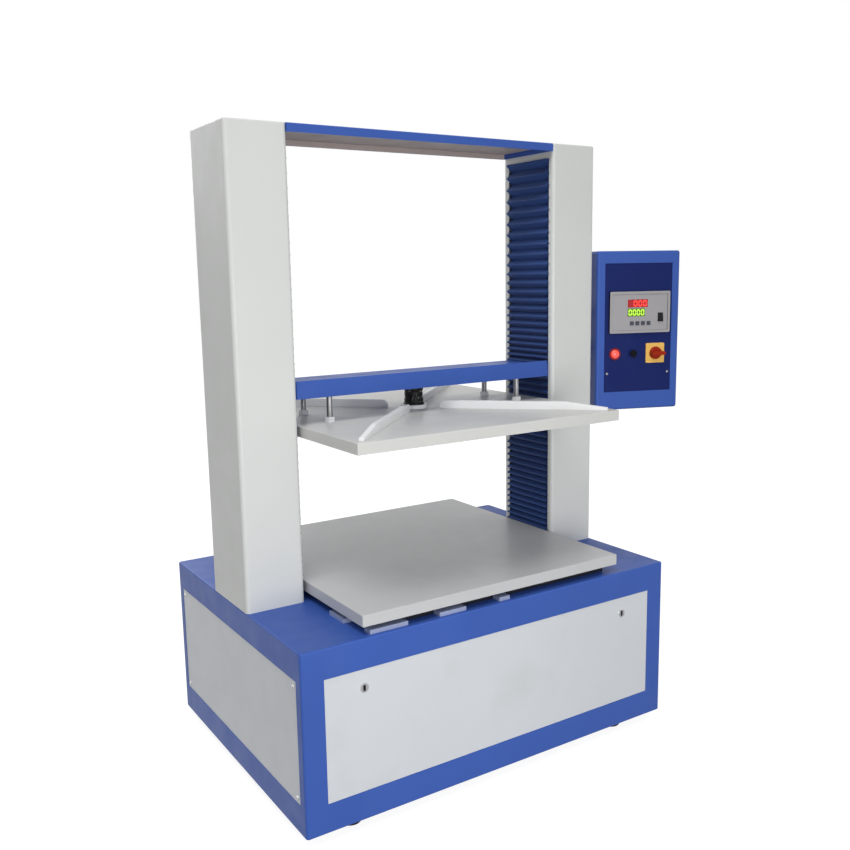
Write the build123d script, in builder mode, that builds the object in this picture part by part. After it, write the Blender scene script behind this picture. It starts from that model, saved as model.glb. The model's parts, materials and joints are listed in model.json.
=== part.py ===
from build123d import *
from math import cos, radians, sin, sqrt
import os

os.makedirs("parts", exist_ok=True)

# A box compression tester: a blue cabinet base, two pale box columns with lead screws and guide
# shafts behind pleated bellows, a blue crosshead that carries the upper platen through a load
# cell and four guide rods, a lower platen, and a control box on a swivel at the right column.
# The origin is the centre of the lower platen's face, +Y to the back, +Z up. Millimetres.

# Driving dimensions of the cabinet base
base_margin = 10.0
base_h = 355.0
foot_h = 20.0
foot_r = 22.0
foot_draft = 1.5
foot_inset_x = 112.0
foot_inset_y = 45.0
sheet = 3.0
corner_r = 6.0
edge_r = 3.0
pan_h = 57.0
skirt_h = 58.0
lip_w = 14.0
post_w = 45.0
post_d = 22.5

# Cabinet panels, their screws and quarter-turn locks
panel_t = 2.0
panel_fold = 12.0
panel_gap = 0.3
panel_recess = 1.0
screw_inset = 12.0
screw_head_r = 4.0
screw_head_h = 2.2
screw_shank_r = 2.0
screw_shank_l = 8.0
lock_inset = 81.0
lock_drop = 36.0
lock_barrel_r = 8.0
lock_head_r = 9.5
lock_head_h = 2.0
lock_tongue_l = 46.0
lock_tongue_w = 14.0
lock_tongue_t = 2.5
vent_l = 90.0
vent_h = 5.0
vent_pitch = 12.0
vent_rows = 8
vent_step = 105.0
inlet_side = 120.0
inlet_w = 48.0
inlet_h = 27.5
inlet_flange_t = 3.0
socket_w = 24.4
socket_h = 16.4
socket_d = 17.0
socket_wall = 1.6
pin_step = 7.0
pin_rise = 2.0
pin_t = 2.0
pin_w = 4.0
pin_l = 15.0

# Platens and the room between them
platen_side = 635.0
platen_t = 22.0
platen_edge_r = 2.0
platen_gap = 17.0
platen_clear = 7.5
daylight = 297.0
support_w = 25.0
support_inset = 22.0
shim_t = 8.0
rib_t = 10.0
rib_h = 17.0
rib_inner = 60.0
rib_end = 24.0
rib_nose_r = 14.0
rib_tail_l = 90.0
rib_tail_h = 5.0

# Columns
col_w = 125.0
col_d = 180.0
col_h = 935.0
col_r = 8.0
window_front = 14.0
window_back = 16.0
sill_h = 22.0
header_h = 14.0
beam_h = 17.0
end_plate_t = 20.0
seat_gap = 0.2

# Lead screws, bearings and guide shafts
screw_offset = 6.0
screw_r = 16.0
journal_r = 9.95
collar_r = 14.0
bearing_r = 23.5
bearing_h = 14.0
shaft_r = 12.5
shaft_pitch = 110.0
run_fit = 0.05
nut_fit = 0.08

# Crosshead
cross_drop = 53.0
cross_t = 26.0
cross_gap = 1.0
fascia_t = 4.0
fascia_h = 36.0
beam_reach = 27.0
carriage_w = 86.0
carriage_d = 160.0
carriage_h = 70.0
nut_r = 25.0
nut_flange_r = 35.0
nut_flange_h = 12.0
bush_r = 20.0
rod_inset = 76.5
rod_y = 62.0
rod_r = 6.0
rod_nut_w = 19.0
rod_nut_h = 10.0
cell_r = 15.0
cell_flange_r = 30.0
cell_flange_h = 8.0
boot_r = 24.0
boot_waist_r = 20.5
boot_wall = 3.0

# Bellows
pleat_out = 4.0
pleat_in = 12.0
bellows_t = 1.2
bellows_side = 0.5
bellows_end = 0.3
clamp_h = 3.0
upper_pleats = 22
upper_growth = 2.2
lower_pleats = 24
lower_growth = 1.35

# Belt drive in the base
pulley_r = 45.0
motor_pulley_r = 30.0
pulley_h = 26.0
pulley_rim = 4.0
pulley_rim_t = 2.0
pulley_drop = 21.0
belt_t = 4.0
belt_clear = 0.3
motor_y = 130.0
motor_w = 130.0
motor_r = 62.0
motor_flange_t = 14.0
motor_shaft_r = 12.0
motor_shaft_l = 34.0
motor_fins = 12

# Control box on its swivel
box_h = 381.0
box_d = 95.0
box_turn = 20.0
box_gap = 14.0
box_bottom_z = 277.0
box_r = 6.0
box_wall = 2.5
face_side = 20.0
face_top = 29.0
face_bottom = 44.0
face_t = 3.0
face_recess = 1.0
face_gap = 0.3
pivot_side = 12.0
pivot_back = 27.0
pivot_z = 466.0
pin_r = 6.0
lug_r = 14.0
lug_h = 78.0
arm_t = 8.0
bracket_t = 6.0
bracket_w = 80.0
bracket_h = 130.0
lug_web = 10.0
lug_plate_w = 60.0
lug_plate_t = 4.0

# Indicator and switches, placed from the fascia's sides, each other and the box's top
meter_w = 156.0
meter_h = 99.0
meter_side = 9.0
meter_shift = 2.0
meter_drop = 145.5
meter_bezel = 7.0
meter_rim = 3.5
meter_body_d = 55.0
meter_wall = 2.5
meter_sink = 1.5
key_reach = 21.0
key_pitch = 14.5
key_drop = 172.0
key_side = 9.0
key_proud = 2.0
key_gap = 0.25
lens_reach = 32.0
lens_drop = 115.0
lens_h = 19.0
lens_step = 21.5
upper_lens_w = 52.0
lower_lens_w = 45.0
lens_t = 1.2
rocker_side = 24.5
rocker_drop = 158.5
rocker_w = 13.0
rocker_h = 21.0
rocker_tilt = 8.0
rocker_body = 8.0
control_drop = 245.0
lamp_side = 27.5
lamp_r = 14.5
lamp_lens_r = 11.0
lamp_h = 9.0
button_r = 9.0
button_bezel_r = 12.0
button_proud = 6.0
button_travel = 4.0
switch_side = 42.0
switch_plate_side = 48.0
switch_plate_t = 3.0
knob_r = 15.0
knob_h = 7.0
knob_grip_w = 9.0
knob_grip_h = 12.0
knob_shaft_r = 4.0
fascia_screw_side = 8.0
fascia_screw_rise = 45.0
fascia_screw_r = 3.0

# Levels worked out from the sizes above
base_top_z = -platen_t - platen_gap
base_bottom_z = base_top_z - base_h
floor_z = base_bottom_z - foot_h
pan_top_z = base_bottom_z + pan_h
skirt_bottom_z = base_top_z - skirt_h
post_h = skirt_bottom_z - pan_top_z
panel_mid_z = (skirt_bottom_z + pan_top_z) / 2
col_top_z = base_top_z + col_h
window_low_z = base_top_z + sill_h
window_high_z = col_top_z - beam_h - header_h
upper_face_z = daylight
upper_top_z = daylight + platen_t
cross_low_z = upper_top_z + cross_drop
cross_high_z = cross_low_z + cross_t
upper_plate_z = window_high_z + header_h / 2

# Places worked out from the sizes above
base_w = platen_side + 2 * (platen_clear + col_w)
base_d = platen_side + 2 * base_margin
front_y = -base_d / 2
side_x = base_w / 2
lock_x = side_x - post_w - lock_inset
inlet_x = side_x - inlet_side
col_x = side_x - col_w / 2
inner_x = side_x - col_w
col_front_y = -col_d / 2
col_back_y = col_d / 2
window_front_y = col_front_y + window_front
window_back_y = col_back_y - window_back
screw_x = col_x + screw_offset
platen_half = platen_side / 2
rod_x = platen_half - rod_inset
rib_outer = platen_half * sqrt(2) - rib_end

# Bottom pan of the cabinet, an open tray with a return lip at its rim
with BuildPart() as base_pan:
    with BuildSketch(Plane.XY.offset(base_bottom_z)):
        RectangleRounded(base_w, base_d, corner_r)
    extrude(amount=pan_h)
    fillet(base_pan.faces().sort_by(Axis.Z)[0].edges(), edge_r)
    with BuildSketch(Plane.XY.offset(base_bottom_z + sheet)):
        RectangleRounded(base_w - 2 * sheet, base_d - 2 * sheet, corner_r - sheet)
    extrude(amount=pan_h, mode=Mode.SUBTRACT)
    with BuildSketch(Plane.XY.offset(pan_top_z - sheet)):
        RectangleRounded(base_w - sheet, base_d - sheet, corner_r - sheet / 2)
        Rectangle(base_w - 2 * lip_w, base_d - 2 * lip_w, mode=Mode.SUBTRACT)
    extrude(amount=sheet)
base_pan.part.label = "base_pan"
export_step(base_pan.part, "parts/base_pan.step")

# Top cover with a skirt all round, its return lip, and clearance holes for the screw journals
with BuildPart() as base_top_cover:
    with BuildSketch(Plane.XY.offset(skirt_bottom_z)):
        RectangleRounded(base_w, base_d, corner_r)
    extrude(amount=skirt_h)
    fillet(base_top_cover.faces().sort_by(Axis.Z)[-1].edges(), edge_r)
    with BuildSketch(Plane.XY.offset(skirt_bottom_z)):
        RectangleRounded(base_w - 2 * sheet, base_d - 2 * sheet, corner_r - sheet)
    extrude(amount=skirt_h - sheet, mode=Mode.SUBTRACT)
    with BuildSketch(Plane.XY.offset(skirt_bottom_z)):
        RectangleRounded(base_w - sheet, base_d - sheet, corner_r - sheet / 2)
        Rectangle(base_w - 2 * lip_w, base_d - 2 * lip_w, mode=Mode.SUBTRACT)
    extrude(amount=sheet)
    with Locations((-screw_x, 0, base_top_z), (screw_x, 0, base_top_z)):
        Hole(collar_r, sheet * 2)
base_top_cover.part.label = "base_top_cover"
export_step(base_top_cover.part, "parts/base_top_cover.step")

# Four corner posts, box tubes whose outer corner follows the cabinet's rounding
with BuildPart() as corner_posts:
    with BuildSketch(Plane.XY.offset(pan_top_z)):
        RectangleRounded(base_w, base_d, corner_r)
        Rectangle(base_w - 2 * post_w, base_d, mode=Mode.SUBTRACT)
        Rectangle(base_w, base_d - 2 * post_d, mode=Mode.SUBTRACT)
        with GridLocations(base_w - post_w, base_d - post_d, 2, 2):
            Rectangle(post_w - 2 * sheet, post_d - 2 * sheet, mode=Mode.SUBTRACT)
    extrude(amount=post_h)
corner_posts.part.label = "corner_posts"
export_step(corner_posts.part, "parts/corner_posts.step")

# Removable panels, shallow pans folded inwards at all four edges
panel_h = post_h - 2 * panel_gap
front_panel_w = base_w - 2 * post_w - 2 * panel_gap
side_panel_w = base_d - 2 * post_d - 2 * panel_gap
lock_z = skirt_bottom_z - lock_drop
front_plane = Plane.XZ.offset(base_d / 2 - panel_recess)
rear_plane = Plane.XZ.offset(panel_recess - base_d / 2)
left_plane = Plane.YZ.offset(panel_recess - side_x)
right_plane = Plane.YZ.offset(side_x - panel_recess)

with BuildPart() as front_panel:
    with BuildSketch(front_plane):
        with Locations((0, panel_mid_z)):
            Rectangle(front_panel_w, panel_h)
    extrude(amount=-panel_fold)
    with BuildSketch(front_plane.offset(-panel_t)):
        with Locations((0, panel_mid_z)):
            Rectangle(front_panel_w - 2 * panel_t, panel_h - 2 * panel_t)
    extrude(amount=-panel_fold, mode=Mode.SUBTRACT)
    with BuildSketch(front_plane):
        with Locations((-lock_x, lock_z), (lock_x, lock_z)):
            Circle(lock_barrel_r + run_fit)
    extrude(amount=-panel_t, mode=Mode.SUBTRACT)
front_panel.part.label = "front_panel"
export_step(front_panel.part, "parts/front_panel.step")

with BuildPart() as rear_panel:
    with BuildSketch(rear_plane):
        with Locations((0, panel_mid_z)):
            Rectangle(front_panel_w, panel_h)
    extrude(amount=panel_fold)
    with BuildSketch(rear_plane.offset(panel_t)):
        with Locations((0, panel_mid_z)):
            Rectangle(front_panel_w - 2 * panel_t, panel_h - 2 * panel_t)
    extrude(amount=panel_fold, mode=Mode.SUBTRACT)
    with BuildSketch(rear_plane):
        with Locations((0, panel_mid_z)):
            with GridLocations(vent_step, vent_pitch, 2, vent_rows):
                SlotOverall(vent_l, vent_h)
        with Locations((inlet_x, panel_mid_z)):
            Rectangle(
                socket_w + 2 * (socket_wall + seat_gap),
                socket_h + 2 * (socket_wall + seat_gap),
            )
        with Locations((0, panel_mid_z)):
            with GridLocations(front_panel_w - 2 * screw_inset, panel_h - 2 * screw_inset, 2, 2):
                Circle(screw_shank_r + seat_gap)
    extrude(amount=panel_t, mode=Mode.SUBTRACT)
rear_panel.part.label = "rear_panel"
export_step(rear_panel.part, "parts/rear_panel.step")

for side, plane, inward in (("left", left_plane, 1), ("right", right_plane, -1)):
    with BuildPart() as side_panel:
        with BuildSketch(plane):
            with Locations((0, panel_mid_z)):
                Rectangle(side_panel_w, panel_h)
        extrude(amount=inward * panel_fold)
        with BuildSketch(plane.offset(inward * panel_t)):
            with Locations((0, panel_mid_z)):
                Rectangle(side_panel_w - 2 * panel_t, panel_h - 2 * panel_t)
        extrude(amount=inward * panel_fold, mode=Mode.SUBTRACT)
        with BuildSketch(plane):
            with Locations((0, panel_mid_z)):
                with GridLocations(side_panel_w - 2 * screw_inset, panel_h - 2 * screw_inset, 2, 2):
                    Circle(screw_shank_r + seat_gap)
        extrude(amount=inward * panel_t, mode=Mode.SUBTRACT)
    side_panel.part.label = f"{side}_panel"
    export_step(side_panel.part, f"parts/{side}_panel.step")

# Quarter-turn locks: a barrel through the panel and a tongue behind the cover's return lip
tongue_y = front_y + lip_w + panel_gap
for side, sx in (("left", -1), ("right", 1)):
    with BuildPart() as panel_lock:
        with BuildSketch(front_plane):
            with Locations((sx * lock_x, lock_z)):
                Circle(lock_head_r)
        extrude(amount=lock_head_h)
        chamfer(panel_lock.faces().sort_by(Axis.Y)[0].edges(), lock_head_h / 3)
        with BuildSketch(front_plane):
            with Locations((sx * lock_x, lock_z)):
                Circle(lock_barrel_r)
        extrude(amount=front_y + panel_recess - tongue_y - lock_tongue_t)
        with BuildSketch(Plane.XZ.offset(-tongue_y)):
            with Locations((sx * lock_x, lock_z)):
                Circle(lock_tongue_w / 2)
            with Locations((sx * lock_x, lock_z + lock_tongue_l / 2)):
                Rectangle(lock_tongue_w, lock_tongue_l)
        extrude(amount=-lock_tongue_t)
        with BuildSketch(front_plane.offset(lock_head_h)):
            with Locations((sx * lock_x, lock_z)):
                Rectangle(lock_head_h, lock_head_r)
        extrude(amount=-lock_head_h, mode=Mode.SUBTRACT)
    panel_lock.part.label = f"{side}_panel_lock"
    export_step(panel_lock.part, f"parts/{side}_panel_lock.step")

# Screws of the side and rear panels
with BuildPart() as panel_screws:
    for plane, inward, width in (
        (left_plane, 1, side_panel_w),
        (right_plane, -1, side_panel_w),
        (rear_plane, 1, front_panel_w),
    ):
        with BuildSketch(plane):
            with Locations((0, panel_mid_z)):
                with GridLocations(width - 2 * screw_inset, panel_h - 2 * screw_inset, 2, 2):
                    Circle(screw_head_r)
        extrude(amount=-inward * screw_head_h)
        with BuildSketch(plane):
            with Locations((0, panel_mid_z)):
                with GridLocations(width - 2 * screw_inset, panel_h - 2 * screw_inset, 2, 2):
                    Circle(screw_shank_r)
        extrude(amount=inward * screw_shank_l)
panel_screws.part.label = "panel_screws"
export_step(panel_screws.part, "parts/panel_screws.step")

# Mains inlet in the rear panel: a flange, a socket shell through the panel and three flat pins
socket_floor = rear_plane.offset(socket_d - inlet_flange_t)
inlet_pins = [(inlet_x - pin_step, panel_mid_z - pin_rise), (inlet_x + pin_step, panel_mid_z - pin_rise)]
with BuildPart() as mains_inlet:
    with BuildSketch(rear_plane):
        with Locations((inlet_x, panel_mid_z)):
            RectangleRounded(inlet_w, inlet_h, edge_r)
    extrude(amount=-inlet_flange_t)
    with BuildSketch(rear_plane):
        with Locations((inlet_x, panel_mid_z)):
            Rectangle(socket_w + 2 * socket_wall, socket_h + 2 * socket_wall)
    extrude(amount=socket_d - inlet_flange_t + socket_wall)
    with BuildSketch(socket_floor):
        with Locations((inlet_x, panel_mid_z)):
            Rectangle(socket_w, socket_h)
    extrude(amount=-socket_d, mode=Mode.SUBTRACT)
    with BuildSketch(socket_floor):
        with Locations(*inlet_pins, (inlet_x, panel_mid_z + pin_rise)):
            Rectangle(pin_t, pin_w)
    extrude(amount=-pin_l)
mains_inlet.part.label = "mains_inlet"
export_step(mains_inlet.part, "parts/mains_inlet.step")

# Rubber feet, tapered discs under the pan
with BuildPart() as rubber_feet:
    with Locations((0, 0, floor_z)):
        with GridLocations(base_w - 2 * foot_inset_x, base_d - 2 * foot_inset_y, 2, 2):
            Cone(foot_r, foot_r - foot_draft, foot_h, align=(Align.CENTER, Align.CENTER, Align.MIN))
    chamfer(rubber_feet.faces().group_by(Axis.Z)[0].edges(), edge_r / 2)
rubber_feet.part.label = "rubber_feet"
export_step(rubber_feet.part, "parts/rubber_feet.step")

# Column covers: rounded sheet boxes, open below, with a window in the inner face for the bellows
window_y = (window_front_y + window_back_y) / 2
window_w = window_back_y - window_front_y
window_h = window_high_z - window_low_z
for side, sx in (("left", -1), ("right", 1)):
    with BuildPart() as column_cover:
        with BuildSketch(Plane.XY.offset(base_top_z)):
            with Locations((sx * col_x, 0)):
                RectangleRounded(col_w, col_d, col_r)
        extrude(amount=col_h)
        fillet(column_cover.faces().sort_by(Axis.Z)[-1].edges(), edge_r)
        with BuildSketch(Plane.XY.offset(base_top_z)):
            with Locations((sx * col_x, 0)):
                RectangleRounded(col_w - 2 * sheet, col_d - 2 * sheet, col_r - sheet)
        extrude(amount=col_h - sheet, mode=Mode.SUBTRACT)
        with BuildSketch(Plane.YZ.offset(sx * inner_x)):
            with Locations((window_y, (window_low_z + window_high_z) / 2)):
                Rectangle(window_w, window_h)
        extrude(amount=sx * (col_r + sheet), mode=Mode.SUBTRACT)
    column_cover.part.label = f"{side}_column_cover"
    export_step(column_cover.part, f"parts/{side}_column_cover.step")

# End plates inside the columns, with seats for the screw bearings and sockets for the shafts
shaft_spots = [(sx * screw_x, sy * shaft_pitch / 2) for sx in (-1, 1) for sy in (-1, 1)]
screw_spots = [(sx * screw_x, 0) for sx in (-1, 1)]
lower_bearing_z = base_top_z + end_plate_t - bearing_h
with BuildPart() as column_end_plates:
    for level in (base_top_z, upper_plate_z):
        with BuildSketch(Plane.XY.offset(level)):
            with Locations((-col_x, 0), (col_x, 0)):
                RectangleRounded(
                    col_w - 2 * (sheet + seat_gap), col_d - 2 * (sheet + seat_gap), col_r - sheet
                )
            with Locations(*shaft_spots):
                Circle(shaft_r + run_fit, mode=Mode.SUBTRACT)
            with Locations(*screw_spots):
                Circle(collar_r, mode=Mode.SUBTRACT)
        extrude(amount=end_plate_t)
    for level in (lower_bearing_z, upper_plate_z):
        with BuildSketch(Plane.XY.offset(level)):
            with Locations(*screw_spots):
                Circle(bearing_r + run_fit)
        extrude(amount=bearing_h, mode=Mode.SUBTRACT)
column_end_plates.part.label = "column_end_plates"
export_step(column_end_plates.part, "parts/column_end_plates.step")

with BuildPart() as screw_bearings:
    for level in (lower_bearing_z, upper_plate_z):
        with BuildSketch(Plane.XY.offset(level)):
            with Locations(*screw_spots):
                Circle(bearing_r)
                Circle(journal_r + run_fit, mode=Mode.SUBTRACT)
        extrude(amount=bearing_h)
screw_bearings.part.label = "screw_bearings"
export_step(screw_bearings.part, "parts/screw_bearings.step")

with BuildPart() as guide_shafts:
    with BuildSketch(Plane.XY.offset(base_top_z)):
        with Locations(*shaft_spots):
            Circle(shaft_r)
    extrude(amount=upper_plate_z + end_plate_t - base_top_z)
guide_shafts.part.label = "guide_shafts"
export_step(guide_shafts.part, "parts/guide_shafts.step")

# Top beam, an inverted tray between the column heads, and the liner under its top and at its back
with BuildPart() as top_beam:
    with BuildSketch(Plane.XY.offset(col_top_z - beam_h)):
        Rectangle(2 * inner_x, col_d)
    extrude(amount=beam_h)
    fillet(top_beam.faces().sort_by(Axis.Z)[-1].edges().filter_by(Axis.X), edge_r)
    with BuildSketch(Plane.XY.offset(col_top_z - beam_h)):
        Rectangle(2 * inner_x - 2 * sheet, col_d - 2 * sheet)
    extrude(amount=beam_h - sheet, mode=Mode.SUBTRACT)
top_beam.part.label = "top_beam"
export_step(top_beam.part, "parts/top_beam.step")

with BuildPart() as top_beam_liner:
    with BuildSketch(Plane.XY.offset(col_top_z - 2 * sheet)):
        Rectangle(2 * (inner_x - sheet - seat_gap), col_d - 2 * (sheet + seat_gap))
    extrude(amount=sheet)
    with BuildSketch(Plane.XY.offset(col_top_z - beam_h)):
        with Locations((0, col_back_y - 1.5 * sheet - seat_gap)):
            Rectangle(2 * (inner_x - sheet - seat_gap), sheet)
    extrude(amount=beam_h - sheet)
top_beam_liner.part.label = "top_beam_liner"
export_step(top_beam_liner.part, "parts/top_beam_liner.step")

# Lead screws with turned journals; a collar rests on the lower bearing
thread_low_z = base_top_z + end_plate_t + panel_gap
pulley_top_z = base_top_z - sheet - pulley_drop
pulley_low_z = pulley_top_z - pulley_h
for side, sx in (("left", -1), ("right", 1)):
    with BuildPart() as lead_screw:
        with BuildSketch(Plane.XY.offset(pulley_low_z)):
            with Locations((sx * screw_x, 0)):
                Circle(journal_r)
        extrude(amount=upper_plate_z + bearing_h - pulley_low_z)
        with BuildSketch(Plane.XY.offset(thread_low_z)):
            with Locations((sx * screw_x, 0)):
                Circle(screw_r)
        extrude(amount=upper_plate_z - panel_gap - thread_low_z)
        chamfer(lead_screw.faces().sort_by(Axis.Z)[-1].edges(), edge_r / 2)
    lead_screw.part.label = f"{side}_lead_screw"
    export_step(lead_screw.part, f"parts/{side}_lead_screw.step")

    with BuildPart() as screw_pulley:
        with BuildSketch(Plane.XY.offset(pulley_low_z)):
            with Locations((sx * screw_x, 0)):
                Circle(pulley_r + pulley_rim)
                Circle(journal_r + run_fit, mode=Mode.SUBTRACT)
        extrude(amount=pulley_h)
        with BuildSketch(Plane.XY.offset(pulley_low_z + pulley_rim_t)):
            with Locations((sx * screw_x, 0)):
                Circle(pulley_r + pulley_rim)
                Circle(pulley_r, mode=Mode.SUBTRACT)
        extrude(amount=pulley_h - 2 * pulley_rim_t, mode=Mode.SUBTRACT)
        with BuildSketch(Plane.XY.offset(pulley_low_z)):
            with Locations((sx * screw_x, 0)):
                with PolarLocations(pulley_r / 2 + journal_r / 2, 4):
                    Circle(journal_r / 2)
        extrude(amount=pulley_h, mode=Mode.SUBTRACT)
    screw_pulley.part.label = f"{side}_screw_pulley"
    export_step(screw_pulley.part, f"parts/{side}_screw_pulley.step")

# Geared motor standing on the pan, finned round its waist, with a square flange on top
motor_low_z = base_bottom_z + sheet
motor_top_z = pulley_low_z - panel_fold
with BuildPart() as motor:
    with BuildSketch(Plane.XY.offset(motor_low_z)):
        with Locations((0, motor_y)):
            Circle(motor_r)
            with PolarLocations(motor_r, motor_fins):
                Rectangle(panel_fold, sheet)
    extrude(amount=motor_top_z - motor_low_z)
    with BuildSketch(Plane.XY.offset(motor_top_z - motor_flange_t)):
        with Locations((0, motor_y)):
            RectangleRounded(motor_w, motor_w, panel_fold)
    extrude(amount=motor_flange_t)
    with BuildSketch(Plane.XY.offset(motor_low_z)):
        with Locations((0, motor_y)):
            RectangleRounded(motor_w, motor_w, panel_fold)
    extrude(amount=motor_flange_t)
    with Locations((0, motor_y, motor_top_z)):
        Hole(motor_shaft_r + run_fit, motor_shaft_l)
motor.part.label = "motor"
export_step(motor.part, "parts/motor.step")

with BuildPart() as motor_pulley:
    with BuildSketch(Plane.XY.offset(pulley_low_z)):
        with Locations((0, motor_y)):
            Circle(motor_pulley_r + pulley_rim)
    extrude(amount=pulley_h)
    with BuildSketch(Plane.XY.offset(pulley_low_z + pulley_rim_t)):
        with Locations((0, motor_y)):
            Circle(motor_pulley_r + pulley_rim)
            Circle(motor_pulley_r, mode=Mode.SUBTRACT)
    extrude(amount=pulley_h - 2 * pulley_rim_t, mode=Mode.SUBTRACT)
    with BuildSketch(Plane.XY.offset(motor_top_z - motor_shaft_l + panel_gap)):
        with Locations((0, motor_y)):
            Circle(motor_shaft_r)
    extrude(amount=pulley_low_z - motor_top_z + motor_shaft_l)
motor_pulley.part.label = "motor_pulley"
export_step(motor_pulley.part, "parts/motor_pulley.step")

# Drive belt, a loop that runs just clear of the three pulleys
belt_low_z = pulley_low_z + pulley_rim_t + panel_gap
belt_h = pulley_h - 2 * (pulley_rim_t + panel_gap)
belt_wheels = [(-screw_x, 0, pulley_r), (screw_x, 0, pulley_r), (0, motor_y, motor_pulley_r)]
with BuildPart() as drive_belt:
    with BuildSketch(Plane.XY.offset(belt_low_z)):
        with BuildLine():
            for x, y, radius in belt_wheels:
                CenterArc((x, y), radius + belt_clear + belt_t, 0, 360)
        make_hull()
    extrude(amount=belt_h)
    with BuildSketch(Plane.XY.offset(belt_low_z)):
        with BuildLine():
            for x, y, radius in belt_wheels:
                CenterArc((x, y), radius + belt_clear, 0, 360)
        make_hull()
    extrude(amount=belt_h, mode=Mode.SUBTRACT)
drive_belt.part.label = "drive_belt"
export_step(drive_belt.part, "parts/drive_belt.step")

# Lower platen on four dark rails, with pale shims under its front and left edges
with BuildPart() as lower_platen:
    with BuildSketch(Plane.XY.offset(-platen_t)):
        Rectangle(platen_side, platen_side)
    extrude(amount=platen_t)
    fillet(lower_platen.edges().filter_by(Axis.Z), platen_edge_r)
    chamfer(lower_platen.faces().sort_by(Axis.Z)[-1].edges(), platen_edge_r / 2)
lower_platen.part.label = "lower_platen"
export_step(lower_platen.part, "parts/lower_platen.step")

rail_reach = platen_half - support_inset
with BuildPart() as platen_supports:
    with BuildSketch(Plane.XY.offset(base_top_z)):
        with GridLocations(0, 2 * rail_reach - support_w, 1, 2):
            Rectangle(2 * rail_reach, support_w)
        with GridLocations(2 * rail_reach - support_w, 0, 2, 1):
            Rectangle(support_w, 2 * (rail_reach - support_w - panel_gap))
    extrude(amount=platen_gap)
platen_supports.part.label = "platen_supports"
export_step(platen_supports.part, "parts/platen_supports.step")

shim_front = [(-262, 82), (-118, 62), (8, 26)]
shim_left = [(-211, 58)]
shim_reach = support_inset - panel_gap
with BuildPart() as platen_shims:
    with BuildSketch(Plane.XY.offset(base_top_z)):
        for x, length in shim_front:
            with Locations((x, -platen_half + shim_reach / 2)):
                Rectangle(length, shim_reach)
        for y, length in shim_left:
            with Locations((-platen_half + shim_reach / 2, y)):
                Rectangle(shim_reach, length)
    extrude(amount=shim_t)
platen_shims.part.label = "platen_shims"
export_step(platen_shims.part, "parts/platen_shims.step")

# Crosshead beam: a flat box through both column windows with a taller front plate
cross_front_y = window_front_y + cross_gap
cross_back_y = window_back_y - cross_gap
cross_y = (cross_front_y + cross_back_y) / 2
cross_reach = inner_x + beam_reach
rod_spots = [(sx * rod_x, sy * rod_y) for sx in (-1, 1) for sy in (-1, 1)]
with BuildPart() as crosshead_beam:
    with BuildSketch(Plane.XY.offset(cross_low_z)):
        with Locations((0, cross_y)):
            Rectangle(2 * cross_reach, cross_back_y - cross_front_y)
    extrude(amount=cross_t)
    with BuildSketch(Plane.XY.offset(cross_low_z)):
        with Locations((0, cross_front_y - fascia_t / 2)):
            Rectangle(2 * (inner_x - pleat_out - cross_gap), fascia_t)
    extrude(amount=fascia_h)
    with BuildSketch(Plane.XY.offset(cross_low_z)):
        with Locations(*rod_spots):
            Circle(rod_r + run_fit)
        with Locations((0, 0)):
            Circle(rod_r + run_fit)
    extrude(amount=cross_t - sheet, mode=Mode.SUBTRACT)
    fillet(crosshead_beam.faces().sort_by(Axis.Y)[0].edges().filter_by(Axis.Z), fascia_t / 2)
crosshead_beam.part.label = "crosshead_beam"
export_step(crosshead_beam.part, "parts/crosshead_beam.step")

# Carriages inside the columns, bolted to the beam's ends, bored for the nut and the bushes
carriage_low_z = cross_low_z + cross_t / 2 - carriage_h / 2
carriage_x = cross_reach + carriage_w / 2
with BuildPart() as carriages:
    with BuildSketch(Plane.XY.offset(carriage_low_z)):
        with Locations((-carriage_x, 0), (carriage_x, 0)):
            RectangleRounded(carriage_w, carriage_d, edge_r)
        with Locations(*screw_spots):
            Circle(nut_r, mode=Mode.SUBTRACT)
        with Locations(*shaft_spots):
            Circle(bush_r, mode=Mode.SUBTRACT)
    extrude(amount=carriage_h)
carriages.part.label = "carriages"
export_step(carriages.part, "parts/carriages.step")

with BuildPart() as screw_nuts:
    with BuildSketch(Plane.XY.offset(carriage_low_z - nut_flange_h)):
        with Locations(*screw_spots):
            Circle(nut_flange_r)
            Circle(screw_r + nut_fit, mode=Mode.SUBTRACT)
            with PolarLocations((nut_r + nut_flange_r) / 2, 4):
                Circle(screw_shank_r, mode=Mode.SUBTRACT)
    extrude(amount=nut_flange_h)
    with BuildSketch(Plane.XY.offset(carriage_low_z)):
        with Locations(*screw_spots):
            Circle(nut_r)
            Circle(screw_r + nut_fit, mode=Mode.SUBTRACT)
    extrude(amount=carriage_h - nut_flange_h)
screw_nuts.part.label = "screw_nuts"
export_step(screw_nuts.part, "parts/screw_nuts.step")

with BuildPart() as guide_bushes:
    with BuildSketch(Plane.XY.offset(carriage_low_z)):
        with Locations(*shaft_spots):
            Circle(bush_r)
            Circle(shaft_r + run_fit, mode=Mode.SUBTRACT)
    extrude(amount=carriage_h)
guide_bushes.part.label = "guide_bushes"
export_step(guide_bushes.part, "parts/guide_bushes.step")

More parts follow.
